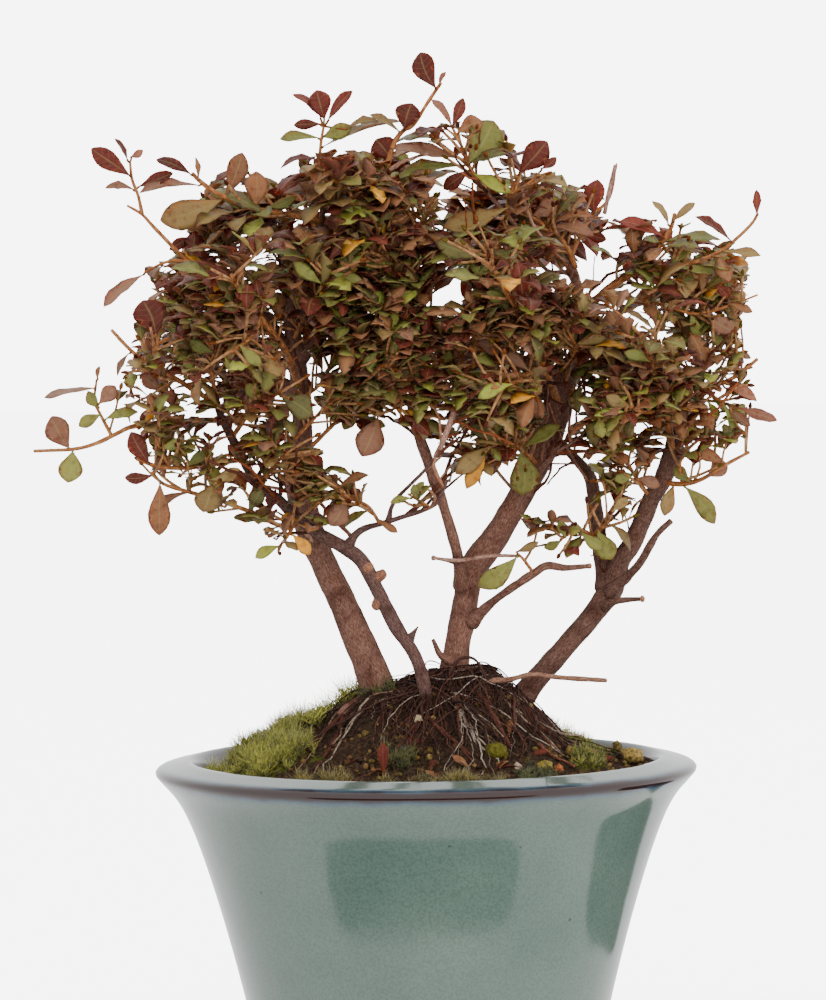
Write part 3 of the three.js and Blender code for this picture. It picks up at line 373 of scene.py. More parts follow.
def shaken(tint: Array, rng: Draws, amount: float) -> Array:
    """Makes each colour a little lighter or darker, with a random alpha.

    Args:
        tint: Colours, one in each row.
        rng: Numbers to draw from.
        amount: The largest share by which one changes.

    Returns:
        The changed colours.
    """
    lit = tint * (1 + amount * rng.uniform(-1, 1, (len(tint), 1)))
    lit[:, 3] = rng.random(len(tint))
    return np.clip(lit, 0, 1)


def show(name: str, skin: Skin, finish: "Finish", stands_for: Iterable = ()) -> Piece:
    """Puts a skin into a mesh object that rides on the part.

    Args:
        name: The piece's name.
        skin: Its surface in mm.
        finish: Its finish.
        stands_for: CAD nodes that it replaces.

    Returns:
        The piece.
    """
    mesh = bpy.data.meshes.new(name)
    mesh.vertices.add(len(skin.points))
    mesh.vertices.foreach_set("co", (skin.points * 0.001).astype(np.float32).ravel())
    corners = np.concatenate([skin.quads.ravel(), skin.tris.ravel()]).astype(np.int32)
    mesh.loops.add(len(corners))
    mesh.loops.foreach_set("vertex_index", corners)
    four, three = np.arange(len(skin.quads)) * 4, np.arange(len(skin.tris)) * 3
    starts = np.concatenate([four, skin.quads.size + three])
    mesh.polygons.add(len(starts))
    mesh.polygons.foreach_set("loop_start", starts.astype(np.int32))
    mesh.update(calc_edges=True)
    for key, kind, part, values in (
        ("pattern", "FLOAT_VECTOR", "vector", skin.pattern), ("tint", "FLOAT_COLOR", "color", skin.tint)
    ):
        mesh.attributes.new(key, kind, "POINT").data.foreach_set(part, values.astype(np.float32).ravel())
    mesh.shade_smooth()
    mesh.materials.append(finish.material())
    piece = placed(name, mesh)
    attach(piece, "root")
    if stands_for:
        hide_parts(*stands_for)
    log.info("%s: %d triangles", name, 2 * len(skin.quads) + len(skin.tris))
    return piece


# Finishes. Each is named for what the real one is.

MIXED = {"data_type": "RGBA"}
TIMES = {"data_type": "RGBA", "blend_type": "MULTIPLY"}


def put(socket: Any, value: Any) -> None:
    """Links an output to a socket, or sets the socket to a number or a hex colour."""
    if isinstance(value, bpy.types.NodeSocket):
        socket.id_data.links.new(value, socket)
    else:
        socket.default_value = linear(value) if isinstance(value, str) else value


def add(
    tree: Any, kind: str, inputs: dict | tuple = (), out: int | str = 0, stops: tuple = (), **settings: Any
) -> Any:
    """Adds a node with its settings and links.

    Args:
        tree: The material's nodes.
        kind: The node's type, as it goes on after ShaderNode, and its operation if it has one.
        inputs: A number, a hex colour or an output for each socket in turn, or by name or number.
        out: The output that is wanted, by name or number.
        stops: Places and hex colours of a colour ramp.
        settings: The node's own settings.

    Returns:
        The output.
    """
    kind, *operation = kind.split()
    node = tree.nodes.new("ShaderNode" + kind)
    if operation:
        node.operation = operation[0]
    for key, value in settings.items():
        setattr(node, key, value)
    for key, value in inputs.items() if isinstance(inputs, dict) else enumerate(inputs):
        put(node.inputs[key], value)
    for i, (place, code) in enumerate(stops):
        marks = node.color_ramp.elements
        mark = marks[i] if i < 2 else marks.new(place)
        mark.position = place
        mark.color = linear(code)
    return node.outputs[out]


def dressed(shader: Any, **sockets: Any) -> None:
    """Puts values and outputs into the shader's sockets, with _ for a space in a socket's name."""
    for key, value in sockets.items():
        put(shader.inputs[key.replace("_", " ")], value)


@dataclass(frozen=True)
class Finish:
    """What a surface is made of, with its nodes built once."""

    name: str = "finish"
    rough: float = 0.5
    ior: float = 1.5

    def material(self) -> bpy.types.Material:
        """Makes the material, or finds the one made before.

        Returns:
            The material of this finish.
        """
        known = bpy.data.materials.get(self.name)
        if known:
            return known
        made = bpy.data.materials.new(self.name)
        made.use_nodes = True
        shader = made.node_tree.nodes["Principled BSDF"]
        dressed(shader, Roughness=self.rough, IOR=self.ior)
        self.dress(partial(add, made.node_tree), shader)
        return made

    def dress(self, node: Callable, shader: Any) -> None:
        """Adds the finish's own nodes.

        Args:
            node: Adds one node to the material.
            shader: The node that they lead to.
        """


@dataclass(frozen=True)
class CeladonGlaze(Finish):
    """Reduction-fired celadon glaze on stoneware.

    The glass runs off the sharp edges while it is molten, so that the iron-rich clay shows brown
    there, with a bluish halo where the glaze thickens again. Iron specks melt through as dark dots.
    Each mark is an edge's radius and height, how wide it reaches, its colour and its strength.
    """

    name: str = "celadon_glaze"
    rough: float = 0.12
    ior: float = 1.5
    body: str = "#66786e"
    pooled: str = "#586d64"
    inner_wall_glaze_and_shade: str = "#4c4243"
    speck: str = "#2b2320"
    # Inner wall above the soil: thin brown glaze, darkened further with painted shade inside the pot.
    pale_freckle: str = "#dfe5e0"
    inner_r: float = 0.0784
    wall_z: float = 0.092
    marks: tuple = (
        (0.0903, 0.1072, 0.0050, "#35536e", 0.85),
        (0.0903, 0.1072, 0.0033, "#2c1816", 1.0),
        (0.0784, RIM_Z / 1000, 0.0015, "#35536e", 0.7),
        (0.0784, RIM_Z / 1000, 0.0009, "#2c1816", 0.8),
    )
    shake: float = 0.0028
    cloud_per_m: float = 28.0
    waver_per_m: float = 90.0
    swell_per_m: float = 45.0
    freckle_per_m: float = 1150.0
    speck_per_m: float = 130.0
    coat: float = 0.12
    coat_rough: float = 0.08

    def dress(self, node: Callable, shader: Any) -> None:
        """Mixes body, the darker inner wall (thin brown glaze and painted shade), halo, break and specks by
        the place on the pot.
        """
        at = node("TexCoord", out="Object")
        height = node("SeparateXYZ", (at,), "Z")
        flat = node("VectorMath MULTIPLY", (at, (1, 1, 0)))
        radius = node("VectorMath LENGTH", (flat,), "Value")
        cloud = node("TexNoise", {"Vector": at, "Scale": self.cloud_per_m, "Detail": 4.0})
        waver = node("TexNoise", {"Vector": at, "Scale": self.waver_per_m, "Detail": 3.0})
        body = node("ValToRGB", (cloud,), stops=((0.3, self.pooled), (0.7, self.body)))
        freckle = node("TexNoise", {"Vector": at, "Scale": self.freckle_per_m, "Detail": 3.0})
        shade = node("ValToRGB", (freckle,), stops=((0.34, self.pale_freckle), (0.62, "#ffffff")))
        colour = node("Mix", {0: 1.0, 6: body, 7: shade}, 2, **TIMES)
        # Painted shade: the inner wall above the soil is darkened to a brownish grey, partly for its thin
        # brown glaze and partly for the shade inside the pot.
        narrow = node("MapRange", (radius, self.inner_r, self.inner_r - 0.0012))
        high = node("Math GREATER_THAN", (height, self.wall_z))
        inside = node("Math MULTIPLY", (narrow, high))
        colour = node("Mix", {0: inside, 6: colour, 7: self.inner_wall_glaze_and_shade}, 2, **MIXED)
        for edge_r, edge_z, wide, code, most in self.marks:
            dr = node("Math SUBTRACT", (radius, edge_r))
            dz = node("Math SUBTRACT", (height, edge_z))
            off = node("CombineXYZ", (dr, dz))
            gap = node("VectorMath LENGTH", (off,), "Value")
            shaky = node("Math MULTIPLY_ADD", (waver, -self.shake, gap))
            start, stop = wide - self.shake / 2, wide * 0.35 - self.shake / 2
            span = (shaky, start, stop, 0.0, most)
            share = node("MapRange", span, interpolation_type="SMOOTHSTEP")
            colour = node("Mix", {0: share, 6: colour, 7: code}, 2, **MIXED)
        dots = node("TexVoronoi", {"Vector": at, "Scale": self.speck_per_m}).node.outputs
        size = node("SeparateColor", (dots["Color"],))
        near = node("Math MULTIPLY_ADD", (size, 0.30, -0.215))
        hit = node("Math LESS_THAN", (dots["Distance"], near))
        faint = node("Math MULTIPLY", (hit, 0.75))
        colour = node("Mix", {0: faint, 6: colour, 7: self.speck}, 2, **MIXED)
        swell = node("TexNoise", {"Vector": at, "Scale": self.swell_per_m, "Detail": 1.0})
        bump = node("Bump", {"Height": swell, "Strength": 0.3, "Distance": 0.0008})
        dressed(shader, Base_Color=colour, Normal=bump)
        dressed(shader, Coat_Weight=self.coat, Coat_Roughness=self.coat_rough)


@dataclass(frozen=True)
class Bark(Finish):
    """Thin azalea bark: smooth and brown, split into short slits that run along the stem."""

    name: str = "azalea_bark"
    rough: float = 0.85
    gloss: float = 0.15
    slit_mm: float = 0.15
    slit_stretch: float = 0.28
    slit: str = "#6a4a40"
    ridge: str = "#d6b4a8"
    middle: str = "#a27c6d"
    damp: str = "#b9a7a0"
    dusty: str = "#f0e2da"
    blotch_mm: float = 9.0

    def dress(self, node: Callable, shader: Any) -> None:
        """Slits and ridges by the place on a straightened stem, times the stem's own colour."""
        at = node("Attribute", out="Vector", attribute_name="pattern")
        own = node("Attribute", attribute_name="tint")
        along = node("Mapping", {"Vector": at, "Scale": (1.0, 1.0, self.slit_stretch)})
        slits = {"Vector": along, "Scale": 0.5 / self.slit_mm, "Detail": 4.0}
        grain = node("TexNoise", {**slits, "Roughness": 0.55, "Distortion": 0.3})
        streak = node("ValToRGB", (grain,), stops=((0.3, self.slit), (0.46, self.middle), (0.7, self.ridge)))
        blotch = node("TexNoise", {"Vector": at, "Scale": 1 / self.blotch_mm, "Detail": 3.0})
        shade = node("ValToRGB", (blotch,), stops=((0.3, self.damp), (0.5, "#ffffff"), (0.74, self.dusty)))
        worn = node("Mix", {0: 1.0, 6: streak, 7: shade}, 2, **TIMES)
        colour = node("Mix", {0: 1.0, 6: worn, 7: own}, 2, **TIMES)
        bump = node("Bump", {"Height": grain, "Strength": 0.45, "Distance": 0.0005})
        dressed(shader, Base_Color=colour, Normal=bump, Specular_IOR_Level=self.gloss)


@dataclass(frozen=True)
class Leaf(Finish):
    """A leathery azalea leaf: a soft sheen above, a paler midrib and side veins, mauve beneath."""

    name: str = "azalea_leaf"
    rough: float = 0.42
    ior: float = 1.45
    gloss: float = 0.18
    rib: str = "#a8a060"
    beneath: str = "#86604c"
    rim: str = "#642e27"
    dull: str = "#c9b8a6"
    warm: str = "#fff3d0"
    veins: float = 7.0
    patch_per_m: float = 420.0
    glow: float = 0.35
    glow_m: float = 0.0015

    def dress(self, node: Callable, shader: Any) -> None:
        """The leaf's own colour, changed by the place along it, across it and by its face."""
        at = node("Attribute", out="Vector", attribute_name="pattern")
        own = node("Attribute", attribute_name="tint")
        split = node("SeparateXYZ", (at,)).node.outputs
        along, face = split["X"], split["Z"]
        across = node("Math ABSOLUTE", (split["Y"],))
        place = node("TexCoord", out="Object")
        cloud = node("TexNoise", {"Vector": place, "Scale": self.patch_per_m, "Detail": 3.0})
        patch = node("ValToRGB", (cloud,), stops=((0.3, self.dull), (0.5, "#ffffff"), (0.72, self.warm)))
        blade = node("Mix", {0: 0.8, 6: own, 7: patch}, 2, **TIMES)
        slant = node("Math MULTIPLY_ADD", (across, -0.11, along))
        wound = node("Math MULTIPLY", (slant, self.veins * 2 * pi))
        wave = node("Math COSINE", (wound,))
        side_vein = node("MapRange", (wave, 0.8, 1.0, 0.0, 0.08))
        middle = node("MapRange", (across, 0.1, 0.02, 0.0, 0.24))
        vein = node("Math MAXIMUM", (side_vein, middle))
        ribbed = node("Mix", {0: vein, 6: blade, 7: self.rib}, 2, **MIXED)
        edge = node("MapRange", (across, 0.8, 1.0, 0.0, 0.35))
        tip = node("MapRange", (along, 0.86, 1.0, 0.0, 0.5))
        red = node("Math MAXIMUM", (edge, tip))
        rimmed = node("Mix", {0: red, 6: ribbed, 7: self.rim}, 2, **MIXED)
        under = node("MapRange", (face, -0.05, -0.3, 0.0, 0.45))
        colour = node("Mix", {0: under, 6: rimmed, 7: self.beneath}, 2, **MIXED)
        bump = node("Bump", {"Height": vein, "Strength": 0.35, "Distance": 0.0003})
        dressed(shader, Base_Color=colour, Normal=bump, Subsurface_Weight=self.glow)
        dressed(shader, Subsurface_Scale=self.glow_m, Specular_IOR_Level=self.gloss)


@dataclass(frozen=True)
class Speckled(Finish):
    """A rough natural surface in each piece's own colours, such as moss, grit, roots or soil."""

    name: str = "grit"
    rough: float = 0.9
    light: str = "#ffffff"
    dark: str = "#8d8078"
    grain_per_m: float = 900.0
    bump: float = 0.5
    sheen: float = 0.0
    gloss: float = 0.2

    def dress(self, node: Callable, shader: Any) -> None:
        """The piece's own colour, mottled by a fine noise."""
        place = node("TexCoord", out="Object")
        own = node("Attribute", attribute_name="tint")
        grain = node("TexNoise", {"Vector": place, "Scale": self.grain_per_m, "Detail": 4.0})
        shade = node("ValToRGB", (grain,), stops=((0.35, self.dark), (0.65, self.light)))
        colour = node("Mix", {0: 1.0, 6: own, 7: shade}, 2, **TIMES)
        bump = node("Bump", {"Height": grain, "Strength": self.bump, "Distance": 0.0006})
        dressed(shader, Base_Color=colour, Normal=bump)
        dressed(shader, Sheen_Weight=self.sheen, Specular_IOR_Level=self.gloss)


GLAZE = CeladonGlaze()
BARK = Bark()
YOUNG_BARK = Bark(
    name="young_azalea_twig", slit_mm=0.3, slit="#7c5334", middle="#a37046", ridge="#d8a878", rough=0.6
)
LEAF = Leaf()
DEAD_LEAF = Leaf(name="dead_azalea_leaf", rough=0.7, rib="#9a6a4a", beneath="#6a4438", rim="#48281f")
SOIL = Speckled(name="damp_potting_soil", dark="#7c6c60")
GRIT = Speckled(name="soil_grit")
MOSS = Speckled(name="feathery_moss", rough=0.75, sheen=0.15, bump=0.2)
ROOT = Speckled(name="bare_root", rough=0.7, grain_per_m=1400.0)
CUT_WOOD = Speckled(name="cut_wood", rough=0.8)


# Places read from the drawing.

TRUNK_LEFT_LIMBS = (
    ((386,726,2,36), (379,692,2,35), (349,617,6,29), (326,568,9,27), (312,535,11,27), (303,505,12,28),
     (298,472,13,27), (303,441,12,21), (301,396,10,21), (297,357,8,17), (290,320,6,13), (286,300,6,10)),
    ((299,370,9,13), (268,318,4,10), (240,285,-4,8), (212,268,-12,6)),
    ((290,322,6,12), (300,280,2,9), (318,235,-2,7), (324,204,-6,5.5)),
    ((301,396,10,15), (262,372,14,11), (215,352,18,8), (170,335,20,6)),
    ((298,362,8,12), (332,322,4,9), (352,300,2,7), (370,262,2,6)),
    ((300,282,2,8), (335,250,-6,7), (362,215,-10,6), (388,165,-12,6)),
    ((380,700,2,20), (352,708,-6,13), (340,716,-10,8)),
)
TRUNK_FRONT_LIMBS = (
    ((428,740,-12,16), (427,712,-14,15), (425,690,-14,14), (416,658,-13,13), (396,627,-12,14),
     (377,590,-11,14), (362,562,-11,14), (346,549,-11,15), (318,533,-11,12), (295,516,-12,11),
     (279,500,-13,11), (260,487,-14,10), (246,466,-16,9), (233,440,-18,9), (221,415,-20,8), (215,395,-20,7)),
    ((345,549,-11,10), (360,531,-13,8), (387,522,-17,7), (429,508,-23,6), (440,497,-25,5), (447,480,-27,5)),
    ((388,521,-17,6), (395,501,-21,5.5), (425,470,-26,5), (439,451,-28,5), (454,413,-30,5)),
    ((364,566,-11,10), (370,569,-13,8)),
    ((377,577,-11,9), (384,573,-12,7)),
    ((380,601,-11,9), (375,608,-12,7)),
    ((408,640,-12,9), (413,634,-12.5,6), (418,627,-13,2.5)),
)
TRUNK_CENTER_LIMBS = (
    ((452,726,8,36), (452,690,8,31), (457,650,8,27), (466,600,8,25), (472,570,8,29), (490,545,8,28),
     (506,520,9,25), (528,482,10,24), (547,444,11,26), (557,415,11,25), (560,386,12,32), (573,360,12,16),
     (580,314,12,12), (576,280,11,9), (566,252,10,6)),
    ((462,585,6,13), (456,549,-4,12), (444,507,-8,11), (433,476,-10,12), (422,444,-10,12), (414,422,-12,9),
     (408,395,-14,7)),
    ((471,622,6,12), (498,598,-2,9), (532,575,-6,9), (547,566,-7,8), (566,568,-7,6), (590,566,-8,5)),
    ((455,664,6,10), (441,656,2,8), (433,640,0,6)),
    ((545,392,12,12), (508,374,4,9), (464,355,-4,8), (439,334,-8,7), (423,312,-10,7), (410,290,-12,6),
     (394,264,-14,5)),
    ((555,392,8,10), (540,388,-2,8), (550,374,-5,7), (566,367,-6,5)),
    ((577,285,12,8), (567,273,10,7), (548,271,8,6), (531,252,4,6), (515,226,-2,6), (492,199,-6,5.5),
     (475,180,-8,5)),
    ((531,252,4,6), (508,262,2,5), (485,271,1,5), (458,277,0,5), (437,266,-2,5), (432,240,-3,5),
     (429,220,-4,5)),
    ((437,266,-2,4.5), (395,258,-4,4.5), (380,247,-5,4)),
    ((536,474,6,8), (557,452,-4,5), (582,435,-6,5), (597,406,-8,5)),
    ((457,562,-3,6), (433,558,-6,4.5)),
    ((557,415,14,14), (540,370,30,10), (520,320,48,8), (505,280,60,6)),
)
TRUNK_RIGHT_LIMBS = (
    ((510,722,4,28), (522,699,4,26), (547,668,4,22), (571,641,4,21), (595,612,5,22), (610,590,6,25),
     (620,562,4,20), (631,545,3,19), (643,519,2,19), (652,497,0,18), (663,479,-2,18), (672,454,-4,19),
     (674,435,-4,14), (680,400,-4,9), (686,372,-5,7)),
    ((608,588,6,18), (604,568,8,17), (599,545,9,16), (597,527,9,15), (593,492,12,14), (588,474,15,12),
     (573,456,21,10), (560,445,27,8)),
    ((610,592,2,12), (637,567,-8,9), (656,536,-14,7), (671,521,-17,6)),
    ((604,606,3,10), (618,601,-2,8), (643,599,-4,6)),
    ((672,456,-4,13), (690,420,20,9), (700,380,40,7), (698,345,52,6)),
)
TRUNK_LEFT_ROOTS = (
    (6, (346,712,-8), (336,726), (318,742), (304,754)),
    (5, (342,715,-9), (341,730), (330,752), (318,770)),
)
TRUNK_FRONT_ROOTS = (
    (6, (427,706,-14), (428,722), (440,734), (455,746), (471,760)),
    (5, (425,700,-14), (421,722), (408,738), (398,752), (394,764)),
)
TRUNK_CENTER_ROOTS = (
    (5, (456,688,4), (458,700), (458,716), (460,743)),
    (6, (456,690,7), (480,700), (496,726), (510,750)),
)
TRUNK_RIGHT_ROOTS = (
    (6, (522,700,2), (528,714), (540,730), (556,742)),
)
DEAD_STICK = (
    (478,696,-9,6), (488,683,-10,6), (510,680,-11,5), (532,675,-11,5), (560,678,-11,5), (607,681,-11,4.5),
)
CROWN = (
    (118,396), (126,370), (130,345), (148,300), (160,265), (178,242), (188,215), (215,178), (255,170),
    (290,180), (312,156), (330,150), (380,148), (402,136), (440,122), (500,122), (520,158), (560,180),
    (600,186), (625,222), (670,216), (700,230), (738,240), (748,290), (740,330), (750,360), (754,400),
    (748,430), (736,452), (708,482), (690,502), (640,505), (626,548), (600,572), (560,562), (524,552),
    (516,500), (500,476), (476,494), (440,504), (424,512), (398,506), (428,470), (424,452), (396,450),
    (380,440), (350,432), (320,416), (316,440), (322,466), (372,478), (372,534), (330,534), (300,560),
    (258,560), (250,524), (220,514), (190,506), (158,490), (136,474), (130,430),
)
WINDOWS = (
    (436,277,462,310), (320,352,342,372), (340,432,424,470), (556,470,586,520),
)
SHOWN_LIMBS = (
    (480,186,515,226,4,-4), (515,226,531,252,4,2), (531,252,552,271,4,6), (303,441,301,396,9,8),
    (301,396,297,345,11,6), (297,345,286,300,8,4), (299,370,268,318,7,2), (557,417,558,380,13,10),
    (529,482,548,440,9,9), (597,527,590,478,6,11), (590,478,573,456,5,18), (650,500,671,458,6,-2),
    (560,386,575,340,6,10), (200,183,229,199,4,-16), (229,199,257,210,4,-14), (257,210,322,222,4,-10),
    (157,230,189,261,4,-16), (189,261,216,270,4,-13),
)
DEAD_TWIGS = (
    ((432,558,-8,3.5), (460,560.5,-7,4), (490,556,-8,4), (520,556,-9,3.5)),
    ((234,348,-14,5), (234,328,-20,4.5), (233,310,-22,4.5)),
    ((248,402,-14,5), (248,380,-18,4.5), (246,360,-21,4.5)),
    ((352,348,-16,5), (332,334,-20,5), (310,322,-22,4.5)),
    ((440,449,-28,5.5), (447,431,-29.5,6), (454,412,-31,6.5)),
    ((604,214,2,5), (609,190,1,4.5), (615,166,0,4.5)),
)


# The pot.


@dataclass
class Pot:
    """The glazed pot, turned on a wheel, with drain holes and channels in its foot. Sizes in mm."""

    foot: tuple = ((0, 0), (54, 0))
    taper: tuple = (48.94, 0.128)
    flares: tuple = ((7.445, 5.5), (22.492, 78.0))
    lip: tuple = ((90.9, 107.3), (89.2, 109.1))
    inside: tuple = ((78.4, 111.6), (76.9, 109.6), (74.6, 100), (52, 14), (46, 8), (0, 8))
    sides: int = 120
    step: float = 1.3
    round_over: int = 1
    drain_r: float = 6.0
    drain_at: float = 24.0
    drains: int = 3
    channel_wide: float = 10.0
    channel_deep: float = 3.0
    foot_r: float = 54.0

    def profile(self) -> Array:
        """The section from the foot's centre, up the outside and down the inside to the floor's centre.

        The wall is a straight taper and two flares, each e times smaller for its own drop in height.
        Corners are rounded by the mean of neighbouring points.
        """
        height = np.arange(3, 104.3, self.step)
        wall = self.taper[0] + self.taper[1] * height
        for size, drop in self.flares:
            wall = wall + size * np.exp((height - 107) / drop)
        corners = np.vstack([self.foot, np.column_stack([wall, height]), self.lip, self.inside])
        lengths = travelled(corners)
        along = np.arange(0, lengths[-1], self.step)
        line = abreast(*(np.interp(along, lengths, column) for column in corners.T))
        for _ in range(self.round_over):
            line[1:-1] = (line[:-2] + 2 * line[1:-1] + line[2:]) / 4
        return line[1:-1]

    def skin(self) -> Skin:
        """The section turned about the pot's axis, with the slight waver of a thrown pot."""
        line = self.profile()
        turn = turns(self.sides)
        rings = line[:, None, :1] * abreast(np.cos(turn), np.sin(turn), 0) + line[:, None, 1:] * UP
        waver = 1 + 0.0016 * noise(rings * (1, 1, 0.6), 46.0, 5) * smoothstep(line[:, 1], 10, 60)[:, None]
        rings = rings * abreast(waver, waver, 1)
        poles = np.array([[0, 0, 0.0]]), np.array([[0, 0, 8.0]])
        return ringed(rings[None], *poles, rings[None], tinted(["#ffffff"]))

    def prism(self, name: str, outlines: list, low: float, high: float) -> Piece:
        """Makes a cutter: each outline carried from low to high.

        Args:
            name: The cutter's name.
            outlines: Points of each outline, anticlockwise from above, in mm.
            low: Height of its lower end in mm.
            high: Height of its upper end in mm.

        Returns:
            The cutter.
        """
        points, faces = [], []
        for outline in outlines:
            n = len(outline)
            start = 2 * n * len(points)
            k = np.arange(n)
            walls = abreast(k, (k + 1) % n, (k + 1) % n + n, k + n) + start
            faces += walls.tolist() + [(k[::-1] + start).tolist(), (k + n + start).tolist()]
            points.append(np.concatenate([outline + UP * low, outline + UP * high]))
        mesh = bpy.data.meshes.new(name)
        mesh.from_pydata((np.concatenate(points) * 0.001).tolist(), [], faces)
        return placed(name, mesh)

    def cutters(self) -> list:
        """The holes through the floor, and the channels from each hole to the foot's edge."""
        bearing = turns(self.drains) + pi / 2
        out = abreast(np.cos(bearing), np.sin(bearing), 0)
        ways = list(zip(out, np.cross(UP, out)))
        ring = turns(32)[:, None]
        far = 2 * self.foot_r
        reach = np.array([[self.drain_at, -1], [far, -1], [far, 1], [self.drain_at, 1]])
        holes = [o * self.drain_at + self.drain_r * (np.cos(ring) * o + np.sin(ring) * a) for o, a in ways]
        channels = [reach[:, :1] * o + reach[:, 1:] * a * self.channel_wide / 2 for o, a in ways]
        return [
            self.prism("drain_holes", holes, -2, 12),
            self.prism("drain_channels", channels, -2, self.channel_deep),
        ]

    def build(self) -> None:
        """Makes the pot and cuts its drainage."""
        piece = show("glazed_pot", self.skin(), GLAZE, ["pot"])
        cutters = self.cutters()
        for cutter in cutters:
            drill = piece.modifiers.new(cutter.name, "BOOLEAN")
            drill.operation = "DIFFERENCE"
            drill.solver = "EXACT"
            drill.object = cutter
        graph = bpy.context.evaluated_depsgraph_get()
        carved = bpy.data.meshes.new_from_object(piece.evaluated_get(graph))
        piece.modifiers.clear()
        piece.data = carved
        for cutter in cutters:
            bpy.data.objects.remove(cutter)
        log.info("glazed_pot: %d faces after its drainage is cut", len(carved.polygons))


# The mound of soil and what grows and lies on it.


class Patch(NamedTuple):
    """A cushion of moss: its middle, half-sizes and height in mm, and its two colours."""

    x: float
    y: float
    wide: float
    deep: float
    tall: float
    colours: tuple[str, str]


FRESH = ("#93962f", "#e8e862")
DARK = ("#585c28", "#8a8c3e")
DRY = ("#7c6e34", "#b4a350")
MOSS_PATCHES = (
    Patch(-52, -18, 14, 24, 3.4, FRESH),
    Patch(-36, 8, 18, 20, 3.0, FRESH),
    Patch(-62, 2, 10, 14, 2.0, FRESH),
    Patch(-25, 20, 14, 18, 2.4, FRESH),
    Patch(-17, -3, 7, 8, 1.6, DARK),
    Patch(58, 2, 8, 10, 2.2, FRESH),
    Patch(20, 46, 26, 14, 2.6, FRESH),
    Patch(48, 30, 12, 14, 2.2, FRESH),
    Patch(8, -60, 22, 7, 1.4, DRY),
    Patch(-36, -52, 14, 9, 1.8, DRY),
    Patch(36, -54, 12, 8, 1.8, DARK),
    Patch(55, -26, 9, 8, 2.2, FRESH),
    Patch(-8, -40, 7, 5, 1.2, DARK),
)


@dataclass
class Mound:
    """The soil: a mound that holds the roots, with the pot's inside filled below it. Sizes in mm."""

    ridge: tuple = (
        (-76,-7), (-67,-3.7), (-60,3), (-48.7,7.3), (-35.3,11.7), (-27,16.3), (-20,20.7), (-13.7,22.3),
        (1.3,26.3), (18,28.3), (24.7,25), (31.3,19.7), (38,13), (46.3,3), (60,-0.5), (76,-2),
    )
    left_edge: float = -6.5
    right_edge: float = -3.0
    spread: float = 36.0
    wall_r: float = 75.5
    sides: int = 180
    rings: int = 72
    below: tuple = ((74.3, 100), (51.7, 14), (45.6, 8.3))

    def ground(self, x: Array, y: Array) -> Array:
        """Works out the soil's height: a ridge that falls off on both sides and ends at the wall.

        Args:
            x: Places to the right in mm.
            y: Places to the back in mm.

        Returns:
            The heights in mm.
        """
        heights = np.array(self.ridge, float)
        ridge = np.interp(x, heights[:, 0], heights[:, 1])
        across = np.exp(-((y / self.spread) ** 2))
        rim = 1 - smoothstep(np.hypot(x, y) / self.wall_r, 0.8, 1)
        edge = self.left_edge + (self.right_edge - self.left_edge) * smoothstep(x, 10, 65)
        return RIM_Z + edge + (ridge - edge) * across * rim

    def moss(self, x: Array, y: Array) -> tuple[Array, Array]:
        """Works out the moss: each patch is an ellipse with a wavy edge and a clumped top.

        Args:
            x: Places to the right in mm.
            y: Places to the back in mm.

        Returns:
            How tall it is in mm, and which patch it belongs to.
        """
        places = abreast(x, y, 0)
        edge = 0.4 * noise(places, 7.0, 3) + 0.3 * noise(places, 2.4, 4)
        clumps = 1 + 0.8 * noise(places, 6.0, 14)
        talls = np.stack(
            [
                p.tall * smoothstep(1 + edge - np.hypot((x - p.x) / p.wide, (y - p.y) / p.deep), 0.0, 0.35)
                for p in MOSS_PATCHES
            ]
        )
        return talls.max(axis=0) * clumps, talls.argmax(axis=0)

    def surface(self, x: Array, y: Array) -> Array:
        """Adds the soil's lumps and the body of its moss to its height.

        Args:
            x: Places to the right in mm.
            y: Places to the back in mm.

        Returns:
            The heights in mm.
        """
        places = abreast(x, y, 0)
        inner = 1 - smoothstep(np.hypot(x, y) / self.wall_r, 0.9, 1)
        lumps = 1.1 * noise(places, 7.0, 1) + 0.9 * noise(places, 3.1, 2) + 0.5 * noise(places, 1.4, 6)
        return self.ground(x, y) + inner * (lumps + 0.55 * self.moss(x, y)[0])

    def under(self, places: Iterable, lift: float = 0.0) -> Array:
        """Finds the nearest points of the mound that the drawing shows.

        Args:
            places: x and y in the drawing, one place in each row.
            lift: How far the points are raised in mm.

        Returns:
            The points in mm.
        """
        rows = np.asarray(places, float)
        depths = np.arange(-74, 40, 0.5)
        grid = VIEW.seen(abreast(rows[:, None, 0], rows[:, None, 1], depths))
        hit = np.argmax(grid[..., 2] <= self.ground(grid[..., 0], grid[..., 1]), axis=1)
        return grid[np.arange(len(rows)), hit] + UP * lift

    def build(self) -> None:
        """Makes the mound: rings of its surface, then down the pot's wall to its floor."""
        turn = turns(self.sides)
        reach = self.wall_r * (np.arange(1, self.rings + 1) / self.rings)
        x = reach[:, None] * np.cos(turn)
        y = reach[:, None] * np.sin(turn)
        wall = [abreast(r * np.cos(turn), r * np.sin(turn), z) for r, z in self.below]
        rings = np.concatenate([abreast(x, y, self.surface(x, y)), wall])[::-1][None]
        centre = np.array([[0, 0, float(self.surface(np.zeros(1), np.zeros(1))[0])]])
        skin = ringed(rings, np.array([[0, 0, 8.3]]), centre, rings, tinted(["#433223"]))
        tall, which = self.moss(skin.points[:, 0], skin.points[:, 1])
        # Painted shade: under moss, the mound takes the moss's older colour at 30%, for the shade beneath
        # the filaments.
        moss_greens_in_shade = tinted([p.colours[0] for p in MOSS_PATCHES])[which] * (0.3, 0.3, 0.3, 1)
        share = smoothstep(tall, 0.3, 1.4)[:, None]
        skin.tint = skin.tint * (1 - share) + moss_greens_in_shade * share
        show("soil_mound", skin, SOIL, ["soil"])


MOUND = Mound()


